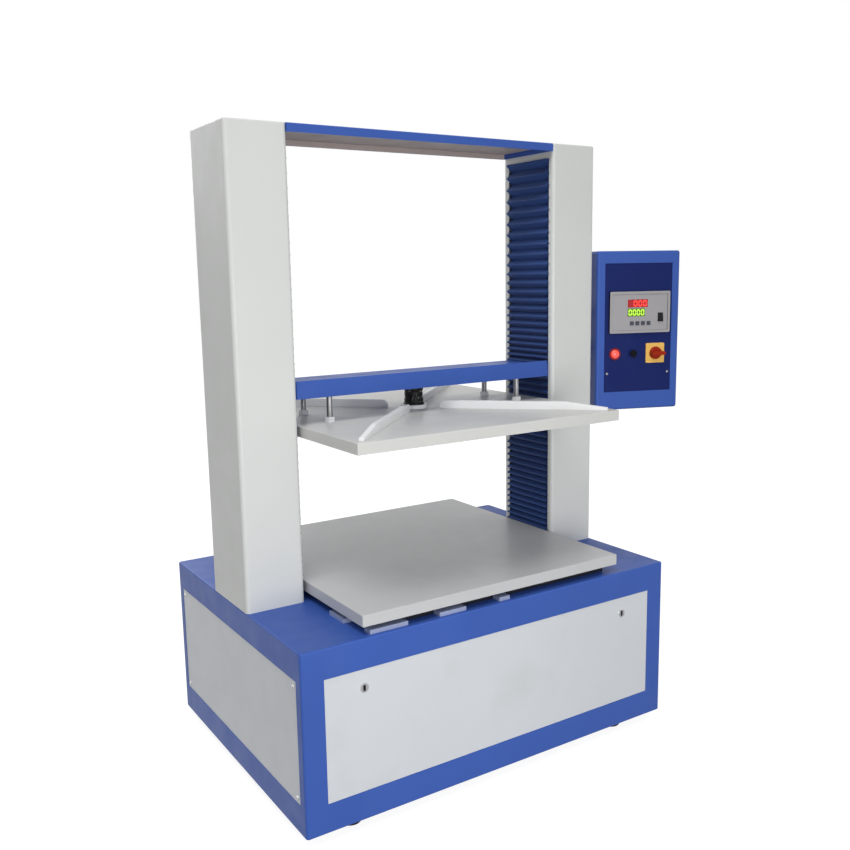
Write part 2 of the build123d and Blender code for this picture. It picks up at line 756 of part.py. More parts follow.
# Load cell: a flange on the platen, a waisted steel body and a stud into the crosshead
with BuildPart() as load_cell:
    with BuildSketch(Plane.XZ):
        with BuildLine():
            Polyline(
                (0, upper_top_z),
                (cell_flange_r, upper_top_z),
                (cell_flange_r, upper_top_z + cell_flange_h),
                (cell_r, upper_top_z + cell_flange_h),
                (cell_r, upper_top_z + cell_flange_h * 2),
                (cell_r - sheet, upper_top_z + cell_flange_h * 2 + sheet),
                (cell_r - sheet, cross_low_z - cell_flange_h - sheet),
                (cell_r, cross_low_z - cell_flange_h),
                (cell_r, cross_low_z),
                (rod_r, cross_low_z),
                (rod_r, cross_low_z + cross_t - 2 * sheet),
                (0, cross_low_z + cross_t - 2 * sheet),
                (0, upper_top_z),
            )
        make_face()
    revolve(axis=Axis.Z)
load_cell.part.label = "load_cell"
export_step(load_cell.part, "parts/load_cell.step")

# Boot round the load cell, a waisted sleeve with thick rims and a plain bore
boot_low_z = upper_top_z + cell_flange_h
boot_waist_h = (cross_low_z - boot_low_z) / 3
boot_outline = [
    (boot_waist_r - boot_wall, boot_low_z),
    (boot_r, boot_low_z),
    (boot_r, boot_low_z + boot_wall),
    (boot_waist_r, boot_low_z + boot_waist_h),
    (boot_waist_r, cross_low_z - boot_waist_h),
    (boot_r, cross_low_z - boot_wall),
    (boot_r, cross_low_z),
    (boot_waist_r - boot_wall, cross_low_z),
]
with BuildPart() as load_cell_boot:
    with BuildSketch(Plane.XZ):
        with BuildLine():
            Polyline(*boot_outline, close=True)
        make_face()
    revolve(axis=Axis.Z)
load_cell_boot.part.label = "load_cell_boot"
export_step(load_cell_boot.part, "parts/load_cell_boot.step")

# Guide rods between the upper platen and the crosshead, each with a hexagon nut at its foot
with BuildPart() as platen_guide_rods:
    with BuildSketch(Plane.XY.offset(upper_top_z)):
        with Locations(*rod_spots):
            Circle(rod_r)
    extrude(amount=cross_drop + cross_t - 2 * sheet)
platen_guide_rods.part.label = "platen_guide_rods"
export_step(platen_guide_rods.part, "parts/platen_guide_rods.step")

with BuildPart() as rod_nuts:
    with BuildSketch(Plane.XY.offset(upper_top_z)):
        with Locations(*rod_spots):
            RegularPolygon(rod_nut_w / 2, 6, major_radius=False)
            Circle(rod_r + run_fit, mode=Mode.SUBTRACT)
    extrude(amount=rod_nut_h)
rod_nuts.part.label = "rod_nuts"
export_step(rod_nuts.part, "parts/rod_nuts.step")

# Upper platen and the four diagonal flat-bar ribs on its back
with BuildPart() as upper_platen:
    with BuildSketch(Plane.XY.offset(upper_face_z)):
        Rectangle(platen_side, platen_side)
    extrude(amount=platen_t)
    fillet(upper_platen.edges().filter_by(Axis.Z), platen_edge_r)
    chamfer(upper_platen.faces().sort_by(Axis.Z)[-1].edges(), platen_edge_r / 2)
upper_platen.part.label = "upper_platen"
export_step(upper_platen.part, "parts/upper_platen.step")

diagonal = 1 / sqrt(2)
with BuildPart() as platen_ribs:
    for sx in (-1, 1):
        for sy in (-1, 1):
            along = Vector(sx * diagonal, sy * diagonal, 0)
            rib_plane = Plane(origin=(0, 0, upper_top_z), x_dir=along, z_dir=along.cross(Vector(0, 0, 1)))
            with BuildSketch(rib_plane):
                with BuildLine():
                    Line((rib_inner, 0), (rib_inner, rib_h - rib_nose_r))
                    RadiusArc(
                        (rib_inner, rib_h - rib_nose_r), (rib_inner + rib_nose_r, rib_h), rib_nose_r
                    )
                    Polyline(
                        (rib_inner + rib_nose_r, rib_h),
                        (rib_outer - rib_tail_l, rib_h),
                        (rib_outer, rib_tail_h),
                        (rib_outer, 0),
                        (rib_inner, 0),
                    )
                make_face()
            extrude(amount=rib_t / 2, both=True)
platen_ribs.part.label = "platen_ribs"
export_step(platen_ribs.part, "parts/platen_ribs.step")


def pleat_levels(low, high, count, growth):
    """Heights of the folds of a bellows whose pitch grows from low to high by the factor growth."""
    weights = [1 + (growth - 1) * i / (count - 1) for i in range(count)]
    unit = (high - low) / sum(weights)
    levels = [low]
    for weight in weights:
        levels.append(levels[-1] + weight * unit)
    return levels


# Bellows: pleated sheets in the column windows, above and below the crosshead
bellows_d = window_w - 2 * bellows_side
bellows_spans = {
    "upper": (cross_high_z + bellows_end, window_high_z - bellows_end, upper_pleats, upper_growth),
    "lower": (window_low_z + bellows_end, cross_low_z - bellows_end, lower_pleats, lower_growth),
}
for side, sx in (("left", -1), ("right", 1)):
    for level, (low_z, high_z, count, growth) in bellows_spans.items():
        folds = pleat_levels(low_z + clamp_h, high_z - clamp_h, count, growth)
        outer_x = inner_x - pleat_out
        valley_x = inner_x + pleat_in
        crest = [(outer_x, folds[0])]
        for z0, z1 in zip(folds, folds[1:]):
            crest += [(valley_x - bellows_t, (z0 + z1) / 2), (outer_x, z1)]
        back = [(x + bellows_t, z) for x, z in reversed(crest)]
        with BuildPart() as bellows:
            with BuildSketch(Plane.XZ.offset(-window_back_y + bellows_side)):
                with BuildLine():
                    Polyline(*[(sx * x, z) for x, z in crest + back], close=True)
                make_face()
                for z in (low_z + clamp_h / 2, high_z - clamp_h / 2):
                    with Locations((sx * (inner_x + (pleat_in - pleat_out) / 2), z)):
                        Rectangle(pleat_out + pleat_in, clamp_h)
            extrude(amount=bellows_d)
        bellows.part.label = f"{side}_{level}_bellows"
        export_step(bellows.part, f"parts/{side}_{level}_bellows.step")

# Control box: its own planes, turned about the vertical so that it faces the operator
turn = radians(box_turn)
width_dir = Vector(cos(turn), -sin(turn), 0)
depth_dir = Vector(sin(turn), cos(turn), 0)
box_corner = Vector(side_x + box_gap, col_front_y, 0)
box_w = meter_w + 2 * (face_side + meter_side)
box_top_z = box_bottom_z + box_h
box_face = Plane(origin=box_corner, x_dir=width_dir, z_dir=depth_dir * -1)
box_floor = Plane(origin=box_corner + Vector(0, 0, box_bottom_z), x_dir=width_dir, z_dir=(0, 0, 1))
box_back = box_face.offset(-box_d)
face_w = box_w - 2 * face_side
face_h = box_h - face_top - face_bottom
face_mid = (box_w / 2, box_bottom_z + face_bottom + face_h / 2)
face_plane = box_face.offset(-face_recess)
pivot = box_corner + width_dir * pivot_side + depth_dir * (box_d + pivot_back)
lug_origin = pivot + Vector(0, 0, pivot_z - lug_h / 2)
lug_floor = Plane(origin=lug_origin, x_dir=width_dir, z_dir=(0, 0, 1))

with BuildPart() as control_box:
    with BuildSketch(box_floor):
        with Locations((box_w / 2, box_d / 2)):
            Rectangle(box_w, box_d)
    extrude(amount=box_h)
    fillet(control_box.edges(), box_r)
    with BuildSketch(box_floor.offset(box_wall)):
        with Locations((box_w / 2, box_d / 2)):
            RectangleRounded(box_w - 2 * box_wall, box_d - 2 * box_wall, box_r - box_wall)
    extrude(amount=box_h - 2 * box_wall, mode=Mode.SUBTRACT)
    with BuildSketch(box_face):
        with Locations(face_mid):
            Rectangle(face_w, face_h)
    extrude(amount=-box_wall, mode=Mode.SUBTRACT)
control_box.part.label = "control_box"
export_step(control_box.part, "parts/control_box.step")

# Hinge lug: a foot plate on the box's back, a web and a bored barrel between the bracket's arms
with BuildPart() as hinge_lug:
    with BuildSketch(box_back):
        with Locations((pivot_side + lug_plate_w / 2 - lug_web / 2, pivot_z)):
            Rectangle(lug_plate_w, lug_h)
    extrude(amount=-lug_plate_t)
    with BuildSketch(lug_floor):
        Circle(lug_r)
        with Locations((0, -pivot_back / 2)):
            Rectangle(lug_web, pivot_back)
        Circle(pin_r + run_fit, mode=Mode.SUBTRACT)
    extrude(amount=lug_h)
hinge_lug.part.label = "hinge_lug"
export_step(hinge_lug.part, "parts/hinge_lug.step")

# Swivel bracket: a plate on the column's side, two arms and the pin through the lug
with BuildPart() as swivel_bracket:
    with BuildSketch(Plane.YZ.offset(side_x)):
        with Locations((pivot.Y, pivot_z)):
            RectangleRounded(bracket_w, bracket_h, corner_r)
    extrude(amount=bracket_t)
    for arm_z in (pivot_z - lug_h / 2 - arm_t - seat_gap, pivot_z + lug_h / 2 + seat_gap):
        with BuildSketch(Plane.XY.offset(arm_z)):
            with Locations((pivot.X, pivot.Y)):
                Circle(lug_r)
            with Locations(((side_x + bracket_t + pivot.X) / 2, pivot.Y)):
                Rectangle(pivot.X - side_x - bracket_t, 2 * lug_r)
        extrude(amount=arm_t)
    with BuildSketch(Plane.XY.offset(pivot_z - lug_h / 2 - arm_t - sheet)):
        with Locations((pivot.X, pivot.Y)):
            Circle(pin_r)
    extrude(amount=lug_h + 2 * (arm_t + sheet))
swivel_bracket.part.label = "swivel_bracket"
export_step(swivel_bracket.part, "parts/swivel_bracket.step")

# Places on the box's face, across from its left edge and down from its top
meter_u = box_w / 2 + meter_shift
key_u = meter_u - key_reach
lens_u = meter_u - lens_reach
rocker_u = meter_u + meter_w / 2 - rocker_side
lamp_u = face_side + lamp_side
switch_u = box_w - face_side - switch_side
button_u = (lamp_u + lamp_r + switch_u - switch_plate_side / 2) / 2
meter_spot = (meter_u, box_top_z - meter_drop)
key_spots = [(key_u + i * key_pitch, box_top_z - key_drop) for i in range(4)]
upper_lens_spot = (lens_u + upper_lens_w / 2, box_top_z - lens_drop - lens_h / 2)
lower_lens_spot = (lens_u + lower_lens_w / 2, box_top_z - lens_drop - lens_step - lens_h / 2)
rocker_spot = (rocker_u, box_top_z - rocker_drop)
control_z = box_top_z - control_drop
lamp_spot = (lamp_u, control_z)
button_spot = (button_u, control_z)
switch_spot = (switch_u, control_z)
screw_z = box_bottom_z + face_bottom + fascia_screw_rise
screw_u = face_side + fascia_screw_side
fascia_screw_spots = [(screw_u, screw_z), (box_w - screw_u, screw_z)]
meter_hole_w = meter_w - 2 * meter_rim
meter_hole_h = meter_h - 2 * meter_rim
meter_bore_w = meter_hole_w - 2 * (seat_gap + meter_wall)
meter_bore_h = meter_hole_h - 2 * (seat_gap + meter_wall)

# Navy fascia with the cut-outs of what it carries
with BuildPart() as control_fascia:
    with BuildSketch(face_plane):
        with Locations(face_mid):
            Rectangle(face_w - 2 * face_gap, face_h - 2 * face_gap)
        with Locations(meter_spot):
            Rectangle(meter_hole_w, meter_hole_h, mode=Mode.SUBTRACT)
        with Locations(lamp_spot):
            Circle(lamp_lens_r, mode=Mode.SUBTRACT)
        with Locations(button_spot):
            Circle(button_r + run_fit, mode=Mode.SUBTRACT)
        with Locations(switch_spot):
            Circle(knob_shaft_r + run_fit, mode=Mode.SUBTRACT)
        with Locations(*fascia_screw_spots):
            Circle(screw_shank_r, mode=Mode.SUBTRACT)
    extrude(amount=-face_t)
    with BuildSketch(face_plane):
        with Locations(button_spot):
            Circle(button_bezel_r)
            Circle(button_r + run_fit, mode=Mode.SUBTRACT)
    extrude(amount=sheet)
control_fascia.part.label = "control_fascia"
export_step(control_fascia.part, "parts/control_fascia.step")

with BuildPart() as fascia_screws:
    with BuildSketch(face_plane):
        with Locations(*fascia_screw_spots):
            Circle(fascia_screw_r)
    extrude(amount=panel_t)
    with BuildSketch(face_plane):
        with Locations(*fascia_screw_spots):
            Circle(screw_shank_r - run_fit)
    extrude(amount=-screw_shank_l)
fascia_screws.part.label = "fascia_screws"
export_step(fascia_screws.part, "parts/fascia_screws.step")

# Indicator: a hollow body through the fascia, a bezel in front, and the grey face inside it
with BuildPart() as indicator_housing:
    with BuildSketch(face_plane):
        with Locations(meter_spot):
            RectangleRounded(meter_w, meter_h, edge_r)
    extrude(amount=meter_bezel)
    with BuildSketch(face_plane):
        with Locations(meter_spot):
            Rectangle(meter_hole_w - 2 * seat_gap, meter_hole_h - 2 * seat_gap)
    extrude(amount=-meter_body_d)
    with BuildSketch(face_plane.offset(meter_bezel)):
        with Locations(meter_spot):
            Rectangle(meter_bore_w, meter_bore_h)
    extrude(amount=meter_wall - meter_body_d - meter_bezel, mode=Mode.SUBTRACT)
indicator_housing.part.label = "indicator_housing"
export_step(indicator_housing.part, "parts/indicator_housing.step")

meter_face_plane = face_plane.offset(meter_bezel - meter_sink)
with BuildPart() as indicator_face:
    with BuildSketch(meter_face_plane):
        with Locations(meter_spot):
            Rectangle(meter_bore_w - 2 * seat_gap, meter_bore_h - 2 * seat_gap)
        with Locations(*key_spots):
            Rectangle(key_side + 2 * key_gap, key_side + 2 * key_gap, mode=Mode.SUBTRACT)
        with Locations(rocker_spot):
            Rectangle(rocker_w + 2 * key_gap, rocker_h + 2 * key_gap, mode=Mode.SUBTRACT)
    extrude(amount=meter_sink - meter_bezel)
    with BuildSketch(meter_face_plane):
        with Locations(upper_lens_spot):
            Rectangle(upper_lens_w, lens_h)
        with Locations(lower_lens_spot):
            Rectangle(lower_lens_w, lens_h)
    extrude(amount=-lens_t, mode=Mode.SUBTRACT)
indicator_face.part.label = "indicator_face"
export_step(indicator_face.part, "parts/indicator_face.step")

with BuildPart() as indicator_lenses:
    with BuildSketch(meter_face_plane.offset(-lens_t)):
        with Locations(upper_lens_spot):
            Rectangle(upper_lens_w - 2 * seat_gap, lens_h - 2 * seat_gap)
        with Locations(lower_lens_spot):
            Rectangle(lower_lens_w - 2 * seat_gap, lens_h - 2 * seat_gap)
    extrude(amount=lens_t + seat_gap)
indicator_lenses.part.label = "indicator_lenses"
export_step(indicator_lenses.part, "parts/indicator_lenses.step")

# Four keys of the indicator, each a capped stem that slides in the face
for number, spot in enumerate(key_spots, start=1):
    with BuildPart() as meter_key:
        with BuildSketch(meter_face_plane.offset(key_proud)):
            with Locations(spot):
                RectangleRounded(key_side, key_side, 1)
        extrude(amount=-key_proud - meter_bezel)
    meter_key.part.label = f"indicator_key_{number}"
    export_step(meter_key.part, f"parts/indicator_key_{number}.step")

# Rocker switch at the indicator's right, tipped to one side at rest
tilt = radians(rocker_tilt)
rocker_plane = Plane(
    origin=meter_face_plane.from_local_coords((*rocker_spot, 0)),
    x_dir=width_dir,
    z_dir=depth_dir * -cos(tilt) + Vector(0, 0, sin(tilt)),
)
with BuildPart() as rocker_switch:
    with BuildSketch(rocker_plane.offset(-rocker_body)):
        Rectangle(rocker_w, rocker_h - rocker_body * sin(tilt) - 2 * key_gap)
    extrude(amount=rocker_body + key_proud)
rocker_switch.part.label = "rocker_switch"
export_step(rocker_switch.part, "parts/rocker_switch.step")

# Pilot lamp with a stepped bezel and a domed lens
with BuildPart() as pilot_lamp:
    with BuildSketch(face_plane):
        with Locations(lamp_spot):
            Circle(lamp_r)
    extrude(amount=sheet)
    with BuildSketch(face_plane):
        with Locations(lamp_spot):
            Circle(lamp_lens_r)
    extrude(amount=lamp_h)
    chamfer(pilot_lamp.faces().sort_by(Axis((0, 0, 0), depth_dir))[0].edges(), lamp_h / 4)
    with BuildSketch(face_plane):
        with Locations(lamp_spot):
            Circle(lamp_lens_r - run_fit)
    extrude(amount=-face_t - meter_body_d / 2)
pilot_lamp.part.label = "pilot_lamp"
export_step(pilot_lamp.part, "parts/pilot_lamp.step")

# Round push button, sprung, with a stem through the fascia
with BuildPart() as push_button:
    with BuildSketch(face_plane.offset(button_proud)):
        with Locations(button_spot):
            Circle(button_r)
    extrude(amount=-button_proud - face_t - button_travel)
    chamfer(push_button.faces().sort_by(Axis((0, 0, 0), depth_dir))[0].edges(), 1)
push_button.part.label = "push_button"
export_step(push_button.part, "parts/push_button.step")

# Main switch: a square plate and a rotary knob with a grip bar that points right
with BuildPart() as switch_plate:
    with BuildSketch(face_plane):
        with Locations(switch_spot):
            RectangleRounded(switch_plate_side, switch_plate_side, edge_r)
            Circle(knob_shaft_r + run_fit, mode=Mode.SUBTRACT)
    extrude(amount=switch_plate_t)
switch_plate.part.label = "switch_plate"
export_step(switch_plate.part, "parts/switch_plate.step")

knob_plane = face_plane.offset(switch_plate_t + seat_gap)
with BuildPart() as switch_knob:
    with BuildSketch(knob_plane):
        with Locations(switch_spot):
            Circle(knob_r)
    extrude(amount=knob_h)
    chamfer(switch_knob.faces().sort_by(Axis((0, 0, 0), depth_dir))[0].edges(), knob_h / 4)
    with BuildSketch(knob_plane):
        with Locations((switch_u + knob_grip_w / 4, control_z)):
            SlotOverall(2 * knob_r + knob_grip_w / 2, knob_grip_w)
    extrude(amount=knob_h + knob_grip_h)
    with BuildSketch(knob_plane):
        with Locations(switch_spot):
            Circle(knob_shaft_r)
    extrude(amount=-switch_plate_t - face_t - screw_shank_l)
switch_knob.part.label = "switch_knob"
export_step(switch_knob.part, "parts/switch_knob.step")
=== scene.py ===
"""Dresses a box compression tester: a blue cabinet, two pale columns with pleated bellows, a
crosshead with its ribbed platen, a lower platen and a control box on a swivel.

All lengths are in metres, with the origin at the centre of the lower platen's face, +Y to the
back and +Z up.
"""

import json
import logging
import math
from dataclasses import dataclass, field
from enum import Enum
from typing import Callable, ClassVar, Optional

import bmesh
import bpy
from mathutils import Matrix, Vector, noise

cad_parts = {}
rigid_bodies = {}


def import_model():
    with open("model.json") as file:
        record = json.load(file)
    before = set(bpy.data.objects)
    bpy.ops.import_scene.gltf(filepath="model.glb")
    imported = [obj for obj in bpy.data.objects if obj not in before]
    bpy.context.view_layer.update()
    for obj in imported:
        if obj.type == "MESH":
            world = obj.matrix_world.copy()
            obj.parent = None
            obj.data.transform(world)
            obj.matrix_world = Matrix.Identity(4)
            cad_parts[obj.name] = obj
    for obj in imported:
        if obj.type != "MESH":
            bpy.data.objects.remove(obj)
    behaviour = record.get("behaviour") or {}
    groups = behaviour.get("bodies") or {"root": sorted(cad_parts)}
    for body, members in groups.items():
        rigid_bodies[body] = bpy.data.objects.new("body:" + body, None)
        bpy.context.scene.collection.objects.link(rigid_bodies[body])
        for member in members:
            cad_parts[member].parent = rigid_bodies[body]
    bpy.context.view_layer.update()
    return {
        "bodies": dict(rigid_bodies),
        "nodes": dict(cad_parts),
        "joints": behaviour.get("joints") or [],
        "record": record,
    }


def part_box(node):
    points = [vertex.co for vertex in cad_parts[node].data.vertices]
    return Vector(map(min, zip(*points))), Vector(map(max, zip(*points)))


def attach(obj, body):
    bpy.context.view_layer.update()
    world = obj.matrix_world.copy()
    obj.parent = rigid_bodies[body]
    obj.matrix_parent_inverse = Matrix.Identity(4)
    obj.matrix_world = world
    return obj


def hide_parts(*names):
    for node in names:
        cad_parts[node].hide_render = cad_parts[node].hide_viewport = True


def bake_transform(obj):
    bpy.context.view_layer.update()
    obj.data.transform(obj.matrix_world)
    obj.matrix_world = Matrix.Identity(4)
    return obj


LOG = logging.getLogger("box_compression_tester")

Colour = tuple[float, float, float]
Outline = list[tuple[float, float]]

SCREEN_WHITE = 255
SCREEN_GAMMA = 2.2
PIECE_CREASE = math.radians(35)
NODE_CREASE = math.radians(25)
ACROSS = Vector((1, 0, 0))
FORWARD = Vector((0, -1, 0))
AXIS_REACH = 1e-7
UP = Vector((0, 0, 1))


def linear(red: int, green: int, blue: int) -> Colour:
    """Turns a colour as seen on a screen, 0 to 255, into the linear values that a shader takes."""
    return tuple((value / SCREEN_WHITE) ** SCREEN_GAMMA for value in (red, green, blue))


class Side(Enum):
    """The two columns, by the sign of their X."""

    LEFT = -1
    RIGHT = 1

    @property
    def label(self) -> str:
        """The word that the column's piece names start with."""
        return self.name.lower()


class Level(Enum):
    """Bellows above and below the crosshead."""

    UPPER = "upper"
    LOWER = "lower"


class Grain(Enum):
    """What breaks up a surface: the scale of its bumps, in bumps per metre."""

    ENAMEL = 260.0
    POWDER = 900.0
    MOULDED = 1600.0
    CAST = 420.0
    GROUND = 2400.0
    SKIN = 700.0


# Finishes


class Shader:
    """A material's node tree, with short calls for the nodes that the finishes share."""

    def __init__(self, name: str) -> None:
        """Starts a material of that name with an empty principled shader."""
        self.material = bpy.data.materials.new(name)
        self.material.use_nodes = True
        self.tree = self.material.node_tree
        self.surface = self.tree.nodes["Principled BSDF"]
        self.place = self.node("ShaderNodeTexCoord").outputs["Object"]

    def node(self, kind: str, **settings: object) -> bpy.types.Node:
        """Adds a node of that kind and sets its properties."""
        made = self.tree.nodes.new(kind)
        for key, value in settings.items():
            setattr(made, key, value)
        return made

    def link(self, source: bpy.types.NodeSocket, target: bpy.types.NodeSocket) -> None:
        """Joins an output to an input."""
        self.tree.links.new(source, target)

    def noise(
        self, scale: float, detail: float = 3.0, stretch: Optional[Vector] = None,
    ) -> bpy.types.NodeSocket:
        """Noise over the surface.

        Args:
            scale: Patches per metre.
            detail: Octaves of finer noise.
            stretch: Factors along X, Y and Z, for a grain that runs one way.

        Returns:
            The noise's factor, from 0 to 1 about a middle of 0.5.
        """
        texture = self.node("ShaderNodeTexNoise")
        texture.inputs["Scale"].default_value = scale
        texture.inputs["Detail"].default_value = detail
        place = self.place
        if stretch is not None:
            mapping = self.node("ShaderNodeMapping")
            mapping.inputs["Scale"].default_value = stretch
            self.link(place, mapping.inputs["Vector"])
            place = mapping.outputs["Vector"]
        self.link(place, texture.inputs["Vector"])
        return texture.outputs["Fac"]

    def span(
        self, factor: bpy.types.NodeSocket, source: tuple[float, float], target: tuple[float, float],
    ) -> bpy.types.NodeSocket:
        """Maps a factor from the source range to the target range, held at its ends."""
        mapped = self.node("ShaderNodeMapRange")
        self.link(factor, mapped.inputs["Value"])
        for name, value in zip(("From Min", "From Max", "To Min", "To Max"), (*source, *target)):
            mapped.inputs[name].default_value = value
        return mapped.outputs["Result"]

    def mix(self, factor: bpy.types.NodeSocket, first: object, second: object) -> bpy.types.NodeSocket:
        """Mixes two colours, given as values or as outputs."""
        mixed = self.node("ShaderNodeMix", data_type="RGBA")
        self.link(factor, mixed.inputs["Factor"])
        for name, colour in (("A", first), ("B", second)):
            socket = [s for s in mixed.inputs if s.name == name and s.type == "RGBA"][0]
            if isinstance(colour, bpy.types.NodeSocket):
                self.link(colour, socket)
            else:
                socket.default_value = (*colour, 1)
        return [s for s in mixed.outputs if s.type == "RGBA"][0]

    def bump(self, height: bpy.types.NodeSocket, strength: float, distance: float) -> None:
        """Raises the surface by a height map, over whatever bump it has already."""
        bump = self.node("ShaderNodeBump")
        bump.inputs["Strength"].default_value = strength
        bump.inputs["Distance"].default_value = distance
        self.link(height, bump.inputs["Height"])
        before = self.surface.inputs["Normal"]
        if before.is_linked:
            self.link(before.links[0].from_socket, bump.inputs["Normal"])
        self.link(bump.outputs["Normal"], before)

    def set(self, name: str, value: object) -> None:
        """Sets one of the surface's own values."""
        self.surface.inputs[name].default_value = value


def scaled(colour: Colour, factor: float) -> Colour:
    """The colour made darker or lighter by a factor."""
    return tuple(min(1.0, value * factor) for value in colour)


# How every finish breaks up: noise in patches per metre, and the part of its range that is used.
NOISE_SPAN = (0.3, 0.7)
CLOUD_SCALE = 4.0
MARK_SPAN = (0.56, 0.80)
MARK_DETAIL = 8.0
ROUGH_SCALE = 23.0
ROUGH_DETAIL = 5.0
ROUGH_SPREAD = 0.12
GRAIN_DETAIL = 2.0
GRAIN_STRENGTH = 0.5


@dataclass(frozen=True)
class Finish:
    """A plain finish: one colour that drifts a little, a grain, and soft marks from handling."""

    name: str
    colour: Colour
    roughness: float = 0.4
    metallic: float = 0.0
    coat: float = 0.0
    grain: Grain = Grain.MOULDED
    relief: float = 0.00004
    drift: float = 0.06
    marks: float = 0.0
    mark_scale: float = 7.0
    mark_colour: Colour = (0.30, 0.30, 0.30)
    specular: float = 0.5

    def material(self) -> bpy.types.Material:
        """The finish's material, made once and then shared."""
        name = f"{self.name}_finish"
        known = bpy.data.materials.get(name)
        return known if known else self.make(Shader(name))

    def make(self, shader: Shader) -> bpy.types.Material:
        """Builds the colour, the grain and the marks, and returns the material."""
        shader.set("Metallic", self.metallic)
        shader.set("Coat Weight", self.coat)
        shader.set("Specular IOR Level", self.specular)
        cloudy = shader.span(shader.noise(CLOUD_SCALE), NOISE_SPAN, (0.0, 1.0))
        colour = shader.mix(cloudy, scaled(self.colour, 1 - self.drift), scaled(self.colour, 1 + self.drift))
        if self.marks:
            smudge = shader.span(shader.noise(self.mark_scale, MARK_DETAIL), MARK_SPAN, (0.0, self.marks))
            colour = shader.mix(smudge, colour, self.mark_colour)
        shader.link(colour, shader.surface.inputs["Base Color"])
        band = (self.roughness * (1 - ROUGH_SPREAD), self.roughness * (1 + ROUGH_SPREAD))
        rough = shader.span(shader.noise(ROUGH_SCALE, ROUGH_DETAIL), NOISE_SPAN, band)
        shader.link(rough, shader.surface.inputs["Roughness"])
        shader.bump(shader.noise(self.grain.value, GRAIN_DETAIL), GRAIN_STRENGTH, self.relief)
        return shader.material


@dataclass(frozen=True)
class Brushed(Finish):
    """Metal with fine lines along one direction, such as turned or ground steel."""

    lines: tuple[float, float, float] = (1.0, 1.0, 30.0)
    line_scale: float = 60.0
    line_detail: float = 4.0
    line_strength: float = 0.25

    def make(self, shader: Shader) -> bpy.types.Material:
        """Adds the lines to the plain finish."""
        super().make(shader)
        streaks = shader.noise(self.line_scale, self.line_detail, Vector(self.lines))
        shader.bump(streaks, self.line_strength, self.relief)
        return shader.material


@dataclass(frozen=True)
class Cloth(Finish):
    """Coated cloth: a fine weave under a faint sheen."""

    threads: float = 130.0
    thread_depth: float = 0.00006
    thread_strength: float = 0.2
    sheen: float = 0.06

    def make(self, shader: Shader) -> bpy.types.Material:
        """Adds the weave and the sheen to the plain finish."""
        super().make(shader)
        shader.set("Sheen Weight", self.sheen)
        for direction in ("Y", "Z"):
            threads = shader.node("ShaderNodeTexWave", bands_direction=direction)
            threads.inputs["Scale"].default_value = self.threads
            shader.link(shader.place, threads.inputs["Vector"])
            shader.bump(threads.outputs["Fac"], self.thread_strength, self.thread_depth)
        return shader.material


@dataclass(frozen=True)
class Glow(Finish):
    """A lit plastic, such as an LED segment or a lamp's lens."""

    power: float = 1.0

    def make(self, shader: Shader) -> bpy.types.Material:
        """Adds the light to the plain finish."""
        super().make(shader)
        shader.set("Emission Color", (*self.colour, 1))
        shader.set("Emission Strength", self.power)
        return shader.material


BLUE_ENAMEL = Finish(
    "blue_enamel", linear(59, 89, 166), 0.42, grain=Grain.ENAMEL, relief=0.00010,
    drift=0.05, marks=0.08, mark_colour=linear(100, 118, 170), specular=0.2,
)
PALE_ENAMEL = Finish(
    "pale_enamel", linear(206, 208, 206), 0.46, coat=0.05, grain=Grain.POWDER, relief=0.00006,
    drift=0.02, marks=0.10, mark_colour=linear(165, 165, 163),
)
PANEL_ENAMEL = Finish(
    "panel_enamel", linear(199, 203, 208), 0.42, coat=0.08, grain=Grain.POWDER, relief=0.00006,
    drift=0.02, marks=0.30, mark_colour=linear(172, 176, 168),
)
PLATEN_ENAMEL = Finish(
    "platen_enamel", linear(200, 200, 197), 0.40, coat=0.10, grain=Grain.ENAMEL, relief=0.00006,
    drift=0.02, marks=0.08, mark_colour=linear(160, 160, 156),
)
# A lighter copy of the platen enamel for the ribs, the rod nuts and the load cell's flange; its extra
# lightness is painted light, where light falls on their faces.
PAINTED_LIGHT_ENAMEL = Finish(
    "rib_enamel", linear(232, 233, 234), 0.40, coat=0.10, grain=Grain.ENAMEL, relief=0.00006,
    drift=0.02, marks=0.08, mark_colour=linear(190, 190, 188),
)
LOWER_ENAMEL = Finish(
    "lower_platen_enamel", linear(186, 187, 188), 0.42, coat=0.08, grain=Grain.ENAMEL, relief=0.00006,
    drift=0.02, marks=0.10, mark_colour=linear(150, 150, 146),
)
# The liner under the top beam: a pale plate whose warm grey-brown colour is painted shade and a painted warm
# reflection on the beam's underside.
LINER_PAINTED_SHADE = Finish(
    "liner_paint", linear(174, 162, 158), 0.6, grain=Grain.ENAMEL, relief=0.00002, specular=0.1,
)
SHIM_PLATE = Finish("shim_plate", linear(140, 150, 180), 0.34, coat=0.1, drift=0.1)
BELLOWS_CLOTH = Cloth(
    "bellows_cloth", linear(40, 68, 124), 0.62, grain=Grain.SKIN, relief=0.00008, drift=0.12, specular=0.15,
)
STEEL = Brushed("turned_steel", (0.52, 0.53, 0.54), 0.30, 1.0, grain=Grain.GROUND)
ROD_STEEL = Brushed("ground_rod", (0.30, 0.30, 0.31), 0.42, 1.0, grain=Grain.GROUND, relief=0.00002)
CHROME = Brushed("ground_chrome", (0.70, 0.70, 0.69), 0.16, 1.0, grain=Grain.GROUND, relief=0.00002)
LOCK_STEEL = Brushed("lock_steel", (0.34, 0.34, 0.36), 0.32, 1.0, grain=Grain.GROUND, relief=0.00002)
BRONZE = Brushed("machined_bronze", (0.52, 0.33, 0.13), 0.32, 1.0, grain=Grain.GROUND)
